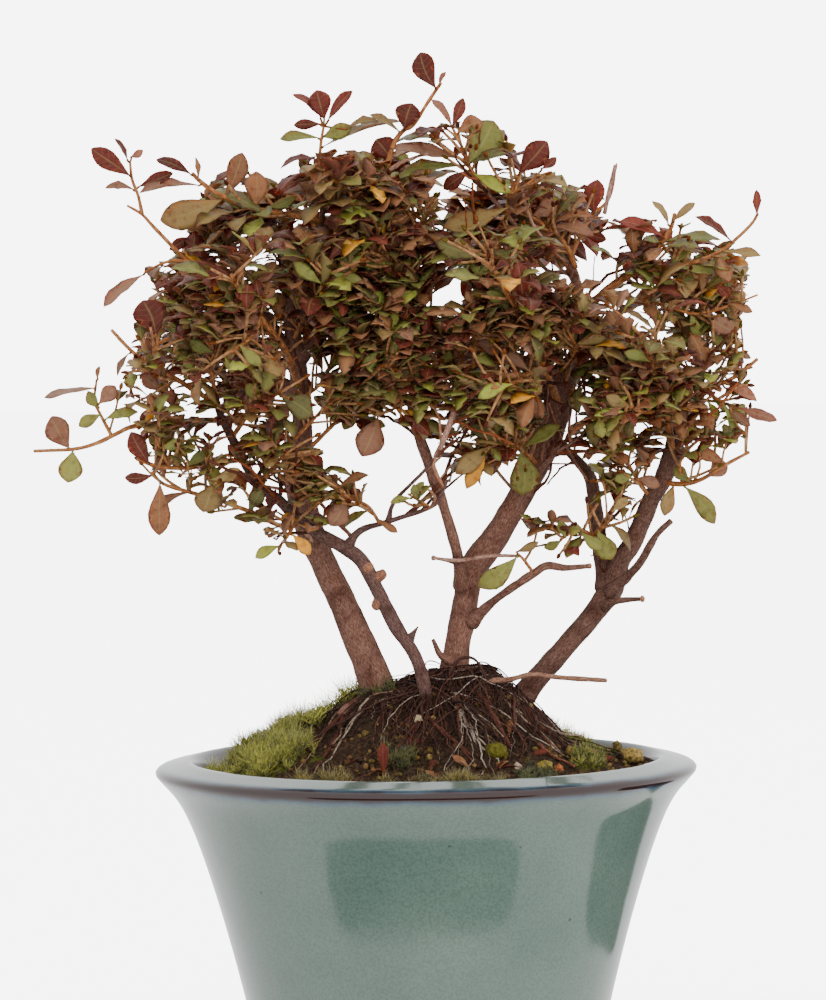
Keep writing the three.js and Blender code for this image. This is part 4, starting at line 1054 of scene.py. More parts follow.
@dataclass
class Moss:
    """Feathery moss: tufts of thin spikes that spread from a short stem."""

    tufts: int = 2000
    trials: int = 14
    spikes: int = 9
    length: Pair = (2.2, 5.8)
    foot_r: float = 0.15
    reach: float = 73.0
    seed: int = 11

    def build(self) -> None:
        """Makes each spike a thin three-sided pyramid that leans out of its tuft."""
        rng = np.random.default_rng(self.seed)
        trial = rng.uniform(-75, 75, (self.tufts * self.trials, 2))
        tall, which = MOUND.moss(trial[:, 0], trial[:, 1])
        most = np.array([p.tall for p in MOSS_PATCHES])[which]
        inside = np.hypot(trial[:, 0], trial[:, 1]) < self.reach
        keep = np.flatnonzero(inside & (tall / most > rng.uniform(0.25, 1.0, len(trial))))[: self.tufts]
        at, tall, which = trial[keep], tall[keep], which[keep]
        foot = abreast(*at.T, MOUND.surface(*at.T) - 0.3).repeat(self.spikes, axis=0)
        count = len(foot)
        turn = rng.uniform(0, 2 * pi, count)
        lean = rng.uniform(0.15, 1.15, count)
        way = abreast(np.sin(lean) * np.cos(turn), np.sin(lean) * np.sin(turn), np.cos(lean))
        reach = rng.uniform(*self.length, count) * (0.4 + 0.25 * tall.repeat(self.spikes))
        clump = noise(foot * (1, 1, 0), 4.5, 15)
        reach = reach * (1 + 0.6 * clump)
        ring = turns(3)
        side = unit(np.cross(way, rng.normal(size=(count, 3))))
        other = np.cross(way, side)
        start = foot + UP * rng.uniform(0, 1.2, (count, 1))
        base = start[:, None] + self.foot_r * (
            np.cos(ring)[:, None] * side[:, None] + np.sin(ring)[:, None] * other[:, None]
        )
        tip = start + way * reach[:, None] - UP * (0.16 * reach * np.sin(lean))[:, None]
        points = np.concatenate([base, tip[:, None]], axis=1).reshape(-1, 3)
        first = 4 * np.arange(count)[:, None, None]
        faces = np.array([[0, 2, 1], [0, 1, 3], [1, 2, 3], [2, 0, 3]])
        old, young = (
            tinted([p.colours[i] for p in MOSS_PATCHES])[which].repeat(self.spikes, axis=0) for i in (0, 1)
        )
        share = rng.random((count, 1))
        # Painted light and shade: spikes on tall clumps are lighter and those in the low gaps darker, from
        # the same noise that sets their height.
        own = (old * share + young * (1 - share)) * (1 + 0.55 * clump[:, None])
        tint = np.clip(own, 0, 1).repeat(4, axis=0).reshape(-1, 4, 4)
        # Painted shade: each spike's three base points are halved in brightness, down among the tuft, while
        # the tip keeps its colour.
        tint[:, :3] *= (0.5, 0.5, 0.5, 1)
        faces = (first + faces).reshape(-1, 3)
        skin = Skin(points, np.zeros((0, 4), int), faces, points, tint.reshape(-1, 4))
        show("moss_filaments", skin, MOSS)


GOLDEN = 1.618
SIGNS = [(a, b) for a in (-1, 1) for b in (-1, 1)]
ICO_POINTS = unit(
    np.array(
        [(0, a, b * GOLDEN) for a, b in SIGNS]
        + [(a, b * GOLDEN, 0) for a, b in SIGNS]
        + [(b * GOLDEN, 0, a) for a, b in SIGNS]
    )
)


def ico_faces() -> Array:
    """Finds the faces of a regular icosahedron: every three corners that are all one edge apart.

    Returns:
        The three corners of each face, in the order that makes it point outwards.
    """
    near = np.linalg.norm(ICO_POINTS[:, None] - ICO_POINTS[None], axis=2) < 1.1
    found = [
        (a, b, c)
        for a in range(12) for b in range(a + 1, 12) for c in range(b + 1, 12)
        if near[a, b] and near[b, c] and near[a, c]
    ]
    flips = [np.linalg.det(ICO_POINTS[list(face)]) < 0 for face in found]
    return np.array([(a, c, b) if flip else (a, b, c) for (a, b, c), flip in zip(found, flips)])


@dataclass
class Grit:
    """Crumbs of soil, grit and pebbles: rough balls that sit in the mound."""

    count: int = 2300
    reach: float = 74.0
    size: Pair = (0.45, 1.25)
    colours: tuple[str, ...] = (
        "#483226", "#573c2a", "#694b30", "#3a2a20", "#795e39", "#503825", "#75602f", "#453626", "#84703f",
    )
    pebbles: tuple = (
        (633, 757, -14, 3.6, "#b59a55"), (545, 768, -42, 2.6, "#b9a23c"), (517, 769, -43, 3.0, "#c9b09a"),
        (560, 771, -38, 2.0, "#c0703f"), (497, 752, -40, 4.2, "#6f6a1f"), (618, 748, -6, 2.6, "#7a6a3a"),
        (590, 756, -16, 2.3, "#8a5a48"), (570, 752, -22, 2.6, "#86703a"),
    )
    seed: int = 12

    def build(self) -> None:
        """Makes the crumbs, then the pebbles that show."""
        rng = np.random.default_rng(self.seed)
        reach = self.reach * np.sqrt(rng.random(self.count))
        turn = rng.uniform(0, 2 * pi, self.count)
        x, y = reach * np.cos(turn), reach * np.sin(turn)
        size = rng.uniform(*self.size, self.count) ** 1.4
        bare = MOUND.moss(x, y)[0] < 1.2
        at = abreast(x, y, MOUND.surface(x, y) + 0.25 * size)[bare]
        own = shaken(tinted(rng.choice(self.colours, self.count)), rng, 0.3)[bare]
        rows = np.array([row[:4] for row in self.pebbles])
        at = np.concatenate([at, VIEW.seen(rows[:, :3])])
        size = np.concatenate([size[bare], rows[:, 3]])
        own = np.concatenate([own, tinted([row[4] for row in self.pebbles])])
        ball = ICO_POINTS[None] * rng.uniform(0.72, 1.18, (len(at), 12, 1))
        ball = ball * rng.uniform(0.75, 1.2, (len(at), 1, 3))
        points = (at[:, None] + size[:, None, None] * ball).reshape(-1, 3)
        faces = (12 * np.arange(len(at))[:, None, None] + ico_faces()).reshape(-1, 3)
        skin = Skin(points, np.zeros((0, 4), int), faces, points, own.repeat(12, axis=0))
        show("soil_crumbs", skin, GRIT)


@dataclass
class FineRoots:
    """The bare roots that hang down the mound, from hair to twine in thickness."""

    bases: tuple = ((-14.0, 0.0), (1.5, -12.0), (10.0, 6.0), (30.0, 3.0))
    shares: tuple = (0.2, 0.2, 0.34, 0.26)
    count: int = 380
    reach: float = 71.0
    stations: int = 16
    radius: Pair = (0.09, 0.32)
    dark: tuple = ("#3f2822", "#4d3129", "#5b3a31", "#33201b", "#6b4538")
    pale: tuple = ("#8f7a69", "#ab9988", "#c4b4a4")
    bundle: tuple = (9.0, -16.0, 10)
    drawn: tuple = (
        (4, "#94775f", (392,696), (372,700), (353,706), (336,719), (322,742), (312,757), (297,775)),
        (3, "#a38b76", (341,716), (341,737), (330,752), (319,769), (314,779)),
        (3, "#a8937f", (388,702), (368,712), (352,726), (345,738)),
        (3, "#7d5244", (398,700), (386,714), (377,727), (372,754)),
        (3, "#74483a", (424,721), (439,731), (451,742), (462,754), (476,770)),
        (4, "#6b4237", (458,692), (459,708), (458,723), (463,748)),
        (3, "#c2b3a4", (455,712), (466,722), (474,736), (483,746), (493,758), (502,769)),
        (2.5, "#cdbfb0", (462,728), (470,737), (477,750)),
        (2.5, "#b9a795", (468,730), (481,750), (497,764)),
        (4, "#6f463a", (483,684), (489,708), (498,727), (512,752)),
        (3, "#a9927f", (500,700), (520,717), (540,727), (562,738), (582,741)),
        (3, "#a8917e", (505,706), (522,722), (544,740), (563,760)),
        (5, "#80513c", (538,749), (554,761), (576,771)),
    )
    seed: int = 13

    def build(self) -> None:
        """Makes roots that leave a trunk's foot, run down the mound and dive into it.

        A root's bearing drifts by a random walk. Its height is the mound's, plus an arch that is
        zero at both ends, plus a little noise. A pale bundle of them hangs in front.
        """
        rng = np.random.default_rng(self.seed)
        n, m = self.count, self.stations
        s = np.linspace(0, 1, m)
        base = np.array(self.bases)[rng.choice(4, n, p=self.shares)]
        turn = rng.uniform(-pi, pi, n)
        front = rng.random(n) < 0.62
        turn[front] = rng.uniform(-pi * 0.95, -pi * 0.05, front.sum())
        start = rng.uniform(1, 12, (n, 1))
        length = rng.uniform(10, 44, (n, 1))
        bundled = np.arange(n) < self.bundle[2]
        base[bundled] = self.bundle[:2]
        turn[bundled] = rng.uniform(-1.35, -0.95, bundled.sum())
        start[bundled] = rng.uniform(0, 4, (bundled.sum(), 1))
        length[bundled] = rng.uniform(22, 40, (bundled.sum(), 1))
        walk = np.cumsum(rng.normal(0, 0.025, (n, m)), axis=1)
        bearing = turn[:, None] + walk - walk[:, :1] + rng.uniform(-0.5, 0.5, (n, 1)) * s**2
        reach = start + length * s
        x = base[:, :1] + reach * np.cos(bearing)
        y = base[:, 1:] + reach * np.sin(bearing)
        shrink = np.minimum(1, self.reach / np.maximum(np.hypot(x, y), 1e-6))
        x, y = x * shrink, y * shrink
        arch = rng.gamma(1.3, 0.9, (n, 1)) * np.sin(pi * s) ** 0.7
        z = MOUND.ground(x, y) + 0.9 + arch - 2.0 * smoothstep(s, 0.86, 1)
        paths = abreast(x, y, z + 0.35 * noise(abreast(x, y, z), 5.0, 8))
        thick = rng.uniform(*self.radius, (n, 1))
        thick[rng.random(n) < 0.07] *= 2.2
        radii = thick * (1 - 0.5 * s) * (1 + 0.15 * noise(paths, 1.5, 9))
        tint = tinted(rng.choice(self.dark, n))
        light = bundled | (rng.random(n) < 0.09)
        tint[light] = tinted(rng.choice(self.pale, light.sum()))
        skins = [tubes(paths, radii, 4, shaken(tint, rng, 0.2))]
        for wide, code, *places in self.drawn:
            on = MOUND.under(places, 1.3)
            thin = 0.33 * wide / VIEW.per_mm * (1 - 0.09 * np.arange(len(places)))
            skins.append(stem(np.column_stack([on, thin]), 1.2, (0.2, 1.8, 33), 7, code, 0.35))
        show("fine_roots", together(skins), ROOT)


# The wood.


@dataclass
class Trunk:
    """One trunk with its limbs, surface roots and cut stubs, grown as one piece."""

    node: str
    limbs: tuple
    roots: tuple = ()
    colour: str = "#e6cfc4"
    pale: tuple = ()
    stubs: tuple = ()
    seed: int = 1
    root_colour: str = "#7d5f54"

    def limb(self, rows: tuple, main: bool, tint: Array, knob: float) -> Skin:
        """Makes a limb along its smooth path, with a collar where it starts and shallow relief.

        Args:
            rows: x, y, depth and width of its stations in the drawing.
            main: Whether it is the trunk itself.
            tint: Its colour.
            knob: How much wider it grows to its end, as a share.

        Returns:
            The limb.
        """
        places = np.array(rows, float)
        wide = places[0, 3]
        slim = np.clip(0.5 + 0.042 * places[:, 3], 0, 1) if wide < 12 else 1.0
        stations = np.column_stack([VIEW.seen(places[:, :3]), slim * places[:, 3] / 2 / VIEW.per_mm])
        path = smooth_path(stations, 0.9 if wide > 10 else 1.1)
        sides = 32 if main else 18 if wide > 9 else 10
        radii = path[:, 3] * (1 + knob * smoothstep(np.linspace(0, 1, len(path)), 0.35, 0.85))
        gone = travelled(path[:, :3])
        if not main:
            radii = radii * (1 + 0.5 * np.exp(-((gone / (1.4 * radii[0] + 2)) ** 2)))
        turn = turns(sides)
        wide_way = radii[:, None] * np.cos(turn) + 40 * self.seed
        flat = abreast(wide_way, radii[:, None] * np.sin(turn), gone[:, None])
        relief = 0.05 * noise(flat * (1, 1, 0.5), 3.4, 21) + 0.03 * noise(flat * (1, 1, 0.3), 0.9, 22)
        relief += 0.05 * noise(flat * (0.2, 0.2, 1), 5.0, 23)
        reach = radii[:, None] * (1 + relief * (1.2 if main else 2.2))
        return tubes(path[None, :, :3], reach[None], sides, tint)

    def build(self) -> None:
        """Makes the trunk."""
        whole = tinted([self.colour])
        skins = []
        for i, rows in enumerate(self.limbs):
            pale = i in self.pale
            tint = tinted(["#ecd3bb"]) if pale else whole
            skins.append(self.limb(rows, i == 0, tint, 0.2 if pale else 0.0))
            if i in self.stubs:
                end, before = VIEW.seen([rows[-1][:3], rows[-2][:3]])
                way = unit(end - before)
                r = rows[-1][3] / 2 / VIEW.per_mm
                cap = np.array([end - way * 0.6, end + way * 0.1, end + way * 0.45])
                round_off = np.array([[1.3, 1.24, 0.85]]) if pale else np.array([[1.12, 1.16, 0.9]])
                skins.append(tubes(cap[None], round_off * r, 12, tinted(["#f2d6b8"])))
        for wide, start, *rest in self.roots:
            r = 0.4 * wide / VIEW.per_mm
            thin = r * (1 - 0.12 * np.arange(len(rest)))
            on = MOUND.under(rest) + (thin * 0.6 + 0.9)[:, None] * UP
            stations = np.column_stack([np.vstack([VIEW.seen(start), on]), np.append(r, thin)])
            skins.append(stem(stations, 0.8, (0.12, 2.2, 31), 9, self.root_colour))
        show(self.node + "_bark", together(skins), BARK, [self.node])


@dataclass
class BareTwigs:
    """The thin old twigs that cross inside the crown, some of them dead and pale. Sizes in mm."""

    count: int = 210
    lowest: float = 165.0
    length: Pair = (12.0, 42.0)
    radius: Pair = (0.35, 0.85)
    stations: int = 9
    colours: tuple = ("#d9b8a4", "#a07460", "#ffdfc0", "#7d5646", "#fff0dd", "#c98a5a", "#8d6452")
    dead: tuple = DEAD_TWIGS
    seed: int = 15

    def build(self, crown: "Crown", trunks: tuple) -> None:
        """Makes twigs that leave a limb sideways and kink at each station, where the crown holds them.

        Args:
            crown: The outline that they stay inside.
            trunks: The trunks that they grow from.
        """
        rng = np.random.default_rng(self.seed)
        starts, ways = [], []
        for trunk in trunks:
            for rows in trunk.limbs:
                at = VIEW.seen(np.array(rows, float)[:, :3])
                starts.append(at[:-1])
                ways.append(np.diff(at, axis=0))
        starts, ways = np.concatenate(starts), np.concatenate(ways)
        high = starts[:, 2] > self.lowest
        starts, ways = starts[high], ways[high]
        long = np.linalg.norm(ways, axis=1)
        pick = rng.choice(len(starts), self.count * 4, p=long / long.sum())
        root = starts[pick] + ways[pick] * rng.random((len(pick), 1))
        along = unit(ways[pick])
        aside = unit(np.cross(along, rng.normal(size=along.shape)))
        way = unit(along * rng.uniform(0.1, 0.9, (len(pick), 1)) + aside + UP * 0.3)
        step = rng.uniform(*self.length, (len(pick), 1, 1)) / (self.stations - 1)
        kinks = np.cumsum(rng.normal(0, 0.16, (len(pick), self.stations - 1, 3)), axis=1)
        steps = unit(way[:, None] + kinks) * step
        gone = np.concatenate([np.zeros_like(steps[:, :1]), np.cumsum(steps, axis=1)], axis=1)
        paths = root[:, None] + gone
        kept = np.flatnonzero(crown.holds(paths[:, 2:]).all(axis=1))[: self.count]
        paths = paths[kept]
        thick = rng.uniform(*self.radius, (len(kept), 1)) * np.linspace(1, 0.55, self.stations)
        thick = thick * rng.uniform(0.85, 1.2, thick.shape)
        tint = shaken(tinted(rng.choice(self.colours, len(kept))), rng, 0.15)
        skins = [tubes(paths, thick, 6, tint)]
        skins += [stem(VIEW.stations(rows), 0.8, (0.14, 2.0, 51), 9, "#fff6ee") for rows in self.dead]
        show("bare_twigs", together(skins), BARK)


# The leafy sprays.


class Row(NamedTuple):
    """One spray: its stream's seed, side shoots, twigs, the shoots that fill it out, and its leaves.

    A twig is its width in squares, then x, y and depth of its points. A leaf is x, y of its foot,
    x, y of its tip and its width, in squares, and has a letter for its tint.
    """

    name: str
    seed: int
    shoots: int
    twigs: list
    more: int = 0
    tints: str = ""
    leaves: Iterable = ()


class Tint(Enum):
    """Colours that azalea leaves turn from summer green to autumn burgundy."""

    B = "#57271f"
    R = "#74352c"
    W = "#86604c"
    P = "#92604c"
    G = "#7b7e40"
    O = "#8b7448"
    D = "#656239"
    L = "#939a41"
    N = "#8b6042"
    Y = "#e29a34"


class LeafPlan(NamedTuple):
    """One leaf before its surface is made: its foot, tip, upper face's way, width and tint."""

    foot: Array
    tip: Array
    face: Array
    width: float
    tint: Tint


@dataclass(frozen=True)
class Blade:
    """How a leaf's closed surface is laid out: rows along it, places across, and which face each is."""

    rows: int
    across: tuple
    faces: tuple
    thick: float = 0.17

    def skin(self, plans: list[LeafPlan], rng: Draws) -> Skin:
        """Works out all the leaves in one go.

        Half the width is the sine of the way along to the power 1.5, itself to the power 0.8.
        The middle arches over its span, the edges lift by the square of the place across and
        wave a little, and the two faces stand off by half the thickness.

        Args:
            plans: The leaves.
            rng: Numbers for each leaf's own bends.

        Returns:
            The leaves' skins as one.
        """
        foot, tip, face = (np.array([getattr(p, part) for p in plans]) for part in ("foot", "tip", "face"))
        width = np.array([p.width for p in plans])[:, None, None, None]
        tint = shaken(tinted([p.tint.value for p in plans]), rng, 0.28)
        span = tip - foot
        length = np.linalg.norm(span, axis=1)[:, None, None, None]
        way = unit(span)
        face = unit(face - way * np.sum(face * way, axis=1, keepdims=True))
        side = np.cross(face, way)
        count = len(plans)
        spare = rng.random((6, count, 1, 1, 1))
        s = ((1 - np.cos(pi * (np.arange(self.rows) + 0.45) / (self.rows - 0.1))) / 2)[None, :, None, None]
        v = np.array(self.across)[None, None, :, None]
        sign = np.array(self.faces)[None, None, :, None]
        half = np.maximum(width / 2 * np.sin(pi * s**1.5) ** 0.8, 0.28 - 0.12 * s)
        arch = (0.02 + 0.11 * spare[0]) * length * 4 * s * (1 - s) - (0.14 * spare[1] - 0.03) * length * s**3
        keel = (0.08 + 0.32 * spare[2]) * half * v**2
        wave = 0.16 * half * v * np.abs(v) * np.sin(2 * pi * (1.2 + 1.6 * spare[3]) * s + 6.3 * spare[4])
        sway = (spare[5] - 0.5) * 0.16 * length * np.sin(pi * s)
        thick = np.minimum(self.thick, half * 0.7)
        rings = (
            foot[:, None, None] + span[:, None, None] * s
            + side[:, None, None] * (half * v + sway)
            + face[:, None, None] * (arch + keel + wave + sign * thick)
        )
        pattern = np.broadcast_to(abreast(s, v, sign)[..., 0, :], rings.shape)
        first = rings[:, 0].mean(axis=1) - way * 0.12
        return ringed(rings, first, tip + face * arch[:, -1, 0] - way * 0.02, pattern, tint)


FINE_BLADE = Blade(10, (1, 0.5, 0, -0.5, -1, -0.5, 0, 0.5), (0, 1, 1, 1, 0, -1, -1, -1))
SMALL_BLADE = Blade(9, (1, 0, -1, 0), (0, 1, 0, -1))


@dataclass
class Crown:
    """The outline of the crown and the lobed gaps in it, in squares of the drawing."""

    outline: tuple = CROWN
    windows: tuple = WINDOWS

    def holds(self, points: Array) -> Array:
        """Tells which points show inside the outline: a line to one side crosses it an odd number of times.

        Args:
            points: The points in mm.

        Returns:
            True for each one that is inside and not in a gap.
        """
        at = VIEW.drawn(np.asarray(points, float))[..., None, :]
        low, high = np.array(self.windows, float)[:, :2], np.array(self.windows, float)[:, 2:]
        off = (2 * at - low - high) / (high - low)
        lobes = 1 + 0.2 * np.sin(3 * np.arctan2(off[..., 1], off[..., 0]) + low[:, 0])
        open_gap = (np.hypot(off[..., 0], off[..., 1]) < lobes).any(axis=-1)
        a = np.array(self.outline, float)
        b = np.roll(a, -1, axis=0)
        spans = (b[:, 1] > at[..., 1]) != (a[:, 1] > at[..., 1])
        level = np.where(b[:, 1] == a[:, 1], 1, b[:, 1] - a[:, 1])
        beyond = at[..., 0] < a[:, 0] + (b[:, 0] - a[:, 0]) * (at[..., 1] - a[:, 1]) / level
        return (np.sum(spans & beyond, axis=-1) % 2 == 1) & ~open_gap


@dataclass
class Sprays:
    """All the leafy sprays of the crown: twigs, side shoots and whorls of leaves. Sizes in mm."""

    crown: Crown = field(default_factory=Crown)
    shoot_length: Pair = (8.0, 17.0)
    lean: Pair = (0.6, 1.25)
    leaf_length: Pair = (7.5, 12.5)
    aspect: float = 0.38
    whorl: tuple[int, int] = (4, 6)
    level: float = 0.5
    larger_up: float = 0.4
    larger_from: Pair = (235.0, 300.0)
    red: Pair = (0.27, 0.26)
    red_from: Pair = (225.0, 290.0)
    inner_size: float = 0.94
    whole: Array = field(default_factory=lambda: np.zeros((0, 6)))
    stem_leaves: int = 2
    fill: float = 2.3
    stem_r: float = 0.52
    stalk_r: float = 0.4
    stalk: str = "#c9b08a"
    buds: tuple = ("#8a9a3f", "#b08a50", "#7a4a30")

    def nearest(self, twigs: list, x: float, y: float) -> tuple[Array, float]:
        """Finds the place on the twigs that is nearest to a point of the drawing.

        Args:
            twigs: A spray's twigs.
            x: The point's x in the drawing.
            y: The point's y in the drawing.

        Returns:
            The place and its depth in mm.
        """
        best = (1e9, np.zeros(3), 0.0)
        for _, *points in twigs:
            for a, b in zip(np.array(points[:-1], float), np.array(points[1:], float)):
                t = np.clip(np.dot((x, y) - a[:2], (b - a)[:2]) / np.sum((b - a)[:2] ** 2), 0, 1)
                on = a + (b - a) * t
                gap = float(np.hypot(on[0] - x, on[1] - y))
                if gap < best[0]:
                    best = (gap, VIEW.seen(on), on[2])
        return best[1], best[2]

    def drawn_leaves(self, row: Row, stream: Stream) -> tuple[list[LeafPlan], list]:
        """Plans the leaves drawn one by one, turned until each looks as wide as it is drawn.

        Args:
            row: The spray.
            stream: Numbers to draw from.

        Returns:
            The leaves, and a stalk from the twig for each that stands off it.
        """
        plans, stalks = [], []
        for (x0, y0, x1, y1, wide), letter in zip(row.leaves, row.tints):
            start, twig_depth = self.nearest(row.twigs, x0, y0)
            depth = twig_depth - 1 + 4 * (stream.draw() - 0.5)
            reach = np.hypot(x1 - x0, y1 - y0) / VIEW.per_mm
            foot = VIEW.seen((x0, y0, depth))
            tip = VIEW.seen((x1, y1, depth + 0.5 * reach * (stream.draw() - 0.5)))
            width = max(wide / VIEW.per_mm, self.aspect * reach)
            turn = float(np.arccos(wide / VIEW.per_mm / width))
            way = unit(tip - foot)
            face = unit(-SIGHT + way * np.dot(SIGHT, way))
            face = rotated(face, way, -turn if way[0] > 0 else turn)
            inside = foot + way * 0.6
            plans.append(LeafPlan(foot, tip, face, width, Tint[letter]))
            stalks.append((start, (start + inside) / 2 - 0.3 * UP, inside))
        return plans, stalks

    def shoots(self, row: Row, count: int, stream: Stream, size: float = 1.0) -> list:
        """Plans side shoots by rule: each has a whorl of leaves at its tip and two lower down.

        Args:
            row: The spray.
            count: How many shoots.
            stream: Numbers to draw from.
            size: The size of their leaves, as a share.

        Returns:
            For each shoot, its root, its end and its leaves as foot, tip, width and face.
        """
        pieces = []
        for _, *points in row.twigs:
            at = VIEW.seen(points)
            pieces += [(a, b, float(np.linalg.norm(b - a))) for a, b in zip(at[:-1], at[1:])]
        total = sum(piece[2] for piece in pieces)
        found = []
        for k in range(count):
            left = total * min(0.98, 0.16 + 0.84 * (k + 0.35 + 0.6 * stream.draw()) / count)
            for start, end, length in pieces:
                left -= length
                if left <= 0:
                    break
            root = end + (start - end) * np.clip(-left / length, 0, 1)
            along = unit(end - start)
            aside = rotated(unit(np.cross(along, SIGHT)), along, GOLDEN_ANGLE * k + 1.2 * stream.draw())
            lean = stream.between(*self.lean)
            way = unit(along * np.cos(lean) + aside * np.sin(lean) + UP * 0.35)
            top = root + way * stream.between(*self.shoot_length)
            number = int(stream.between(self.whorl[0], self.whorl[1] + 0.99))
            ring = unit(np.cross(way, UP))
            leaves = []
            grown = 1 + self.larger_up * float(smoothstep(top[2], *self.larger_from))
            for j in range(self.whorl[1] + self.stem_leaves):
                whorled = j < self.whorl[1]
                turn = 2 * pi * j / number if whorled else GOLDEN_ANGLE * j
                out = rotated(ring, way, turn + 0.7 * (stream.draw() - 0.5))
                spread = stream.draw() - 0.5
                spread = 1.0 + 0.45 * spread if whorled else 1.15 + 0.3 * spread
                point = unit((way * np.cos(spread) + out * np.sin(spread) + UP * 0.18) * (1, 1, self.level))
                reach = stream.between(*self.leaf_length) * (1 if whorled else 0.85) * size * grown
                foot = top + (root - top) * (0.05 * j if whorled else 0.65 - 0.3 * (j - self.whorl[1]))
                face = way * 0.5 + ring * 0.9 * (stream.draw() - 0.5) - SIGHT * 0.7 * stream.draw()
                face = UP * 1.5 + face
                width = reach * (self.aspect + 0.14 + 0.12 * (stream.draw() - 0.5))
                if j < number or not whorled:
                    leaves.append((foot, foot + point * reach, width, face))
            found.append((root, top, leaves))
        return found

    def hides(self, points: Array) -> Array:
        """Tells which points stand in front of a leaf or a limb that the drawing shows whole.

        Args:
            points: The points in mm.

        Returns:
            True for each one that hides something.
        """
        at = VIEW.drawn(points)[..., None, :]
        a, b = self.whole[:, :2], self.whole[:, 2:4]
        t = np.clip(np.sum((at - a) * (b - a), axis=-1) / np.sum((b - a) ** 2, axis=-1), 0, 1)
        gap = np.linalg.norm(at - a - t[..., None] * (b - a), axis=-1)
        return ((gap < self.whole[:, 4]) & (points[..., None, 1] < self.whole[:, 5])).any(axis=-1)

    def tint_at(self, height: float, rng: Draws) -> Tint:
        """Draws a ruled leaf's tint: more are burgundy near the top, and more are green low down.

        Args:
            height: Where the leaf is, in mm.
            rng: Numbers to draw from.

        Returns:
            The tint.
        """
        red = self.red[0] + self.red[1] * float(smoothstep(np.array(height), *self.red_from))
        if rng.random() < red:
            return Tint[rng.choice(list("BWRN"), p=(0.48, 0.1, 0.14, 0.28))]
        return Tint[rng.choice(list("GODLNY"), p=(0.26, 0.28, 0.13, 0.07, 0.23, 0.03))]

    def spray(self, name: str, row: Row) -> None:
        """Makes one spray's twigs, then its leaves.

        Args:
            name: The spray's name.
            row: What it consists of.
        """
        stream = Stream(row.seed)
        rng = np.random.default_rng(row.seed)
        drawn, stalks = self.drawn_leaves(row, stream)
        shoots = self.shoots(row, row.shoots, stream)
        more = int(round(row.shoots * self.fill)) + 1 + row.more
        shoots += self.shoots(row, more, Stream(row.seed + 900), self.inner_size)
        shoots = [s for s in shoots if self.crown.holds(s[1])]
        ruled = [
            LeafPlan(foot, tip, face, width, self.tint_at(foot[2], rng))
            for _, _, leaves in shoots
            for foot, tip, width, face in leaves
            if self.crown.holds(tip)
        ]
        if ruled:
            span = np.array([[p.foot, (p.foot + p.tip) / 2, p.tip] for p in ruled])
            ruled = [p for p, hides in zip(ruled, self.hides(span).any(axis=1)) if not hides]
        wood = []
        for width, *points in row.twigs:
            taper = 1 - 0.45 * np.arange(len(points)) / (len(points) - 1)
            stations = np.column_stack([VIEW.seen(points), width / 2 / VIEW.per_mm * taper])
            wood.append(stem(stations, 1.2, (0.14, 3.0, row.seed), 9, "#f6dcc4"))
        if shoots:
            share = np.linspace(0, 1, 5)[None, :, None]
            roots, tops = (np.array([s[i] for s in shoots])[:, None] for i in (0, 1))
            bow = np.sin(pi * share) * rng.normal(0, 0.5, (len(shoots), 1, 3))
            paths = roots + (tops - roots) * share + bow
            thin = self.stem_r * (1 - 0.25 * share[..., 0]) * rng.uniform(0.85, 1.25, (len(shoots), 1))
            wood.append(tubes(paths, thin, 6, shaken(tinted(["#ffffff"] * len(shoots)), rng, 0.2)))
            ways = unit(tops - roots)
            bud = tops + ways * np.array([-0.3, 0.2, 0.9, 1.7, 2.3])[None, :, None]
            swell = np.broadcast_to([[0.35, 0.6, 0.72, 0.5, 0.2]], (len(shoots), 5))
            wood.append(tubes(bud, swell, 6, tinted(rng.choice(self.buds, len(shoots)))))
        if stalks:
            thin = np.full((len(stalks), 3), self.stalk_r)
            wood.append(tubes(np.array(stalks), thin, 6, tinted([self.stalk] * len(stalks))))
        replaced = [name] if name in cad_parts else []
        show(name + "_twigs", together(wood), YOUNG_BARK, replaced)
        kinds = ((FINE_BLADE, drawn), (SMALL_BLADE, ruled))
        leaves = [blade.skin(plans, rng) for blade, plans in kinds if plans]
        show(name + "_leaves", together(leaves), LEAF)

    def build(self) -> None:
        """Lists what the drawing shows whole, then makes every spray."""
        whole = list(SHOWN_LIMBS)
        for row in SPRAYS:
            for leaf, plan in zip(row.leaves, self.drawn_leaves(row, Stream(row.seed))[0]):
                whole.append((*leaf[:4], 0.42 * leaf[4], min(plan.foot[1], plan.tip[1]) + 0.5))
        self.whole = np.array(whole, float)
        for kind, rows in (("spray_", SPRAYS), ("inner_shoots_", INNER_SHOOTS)):
            for row in rows:
                self.spray(kind + row.name, row)


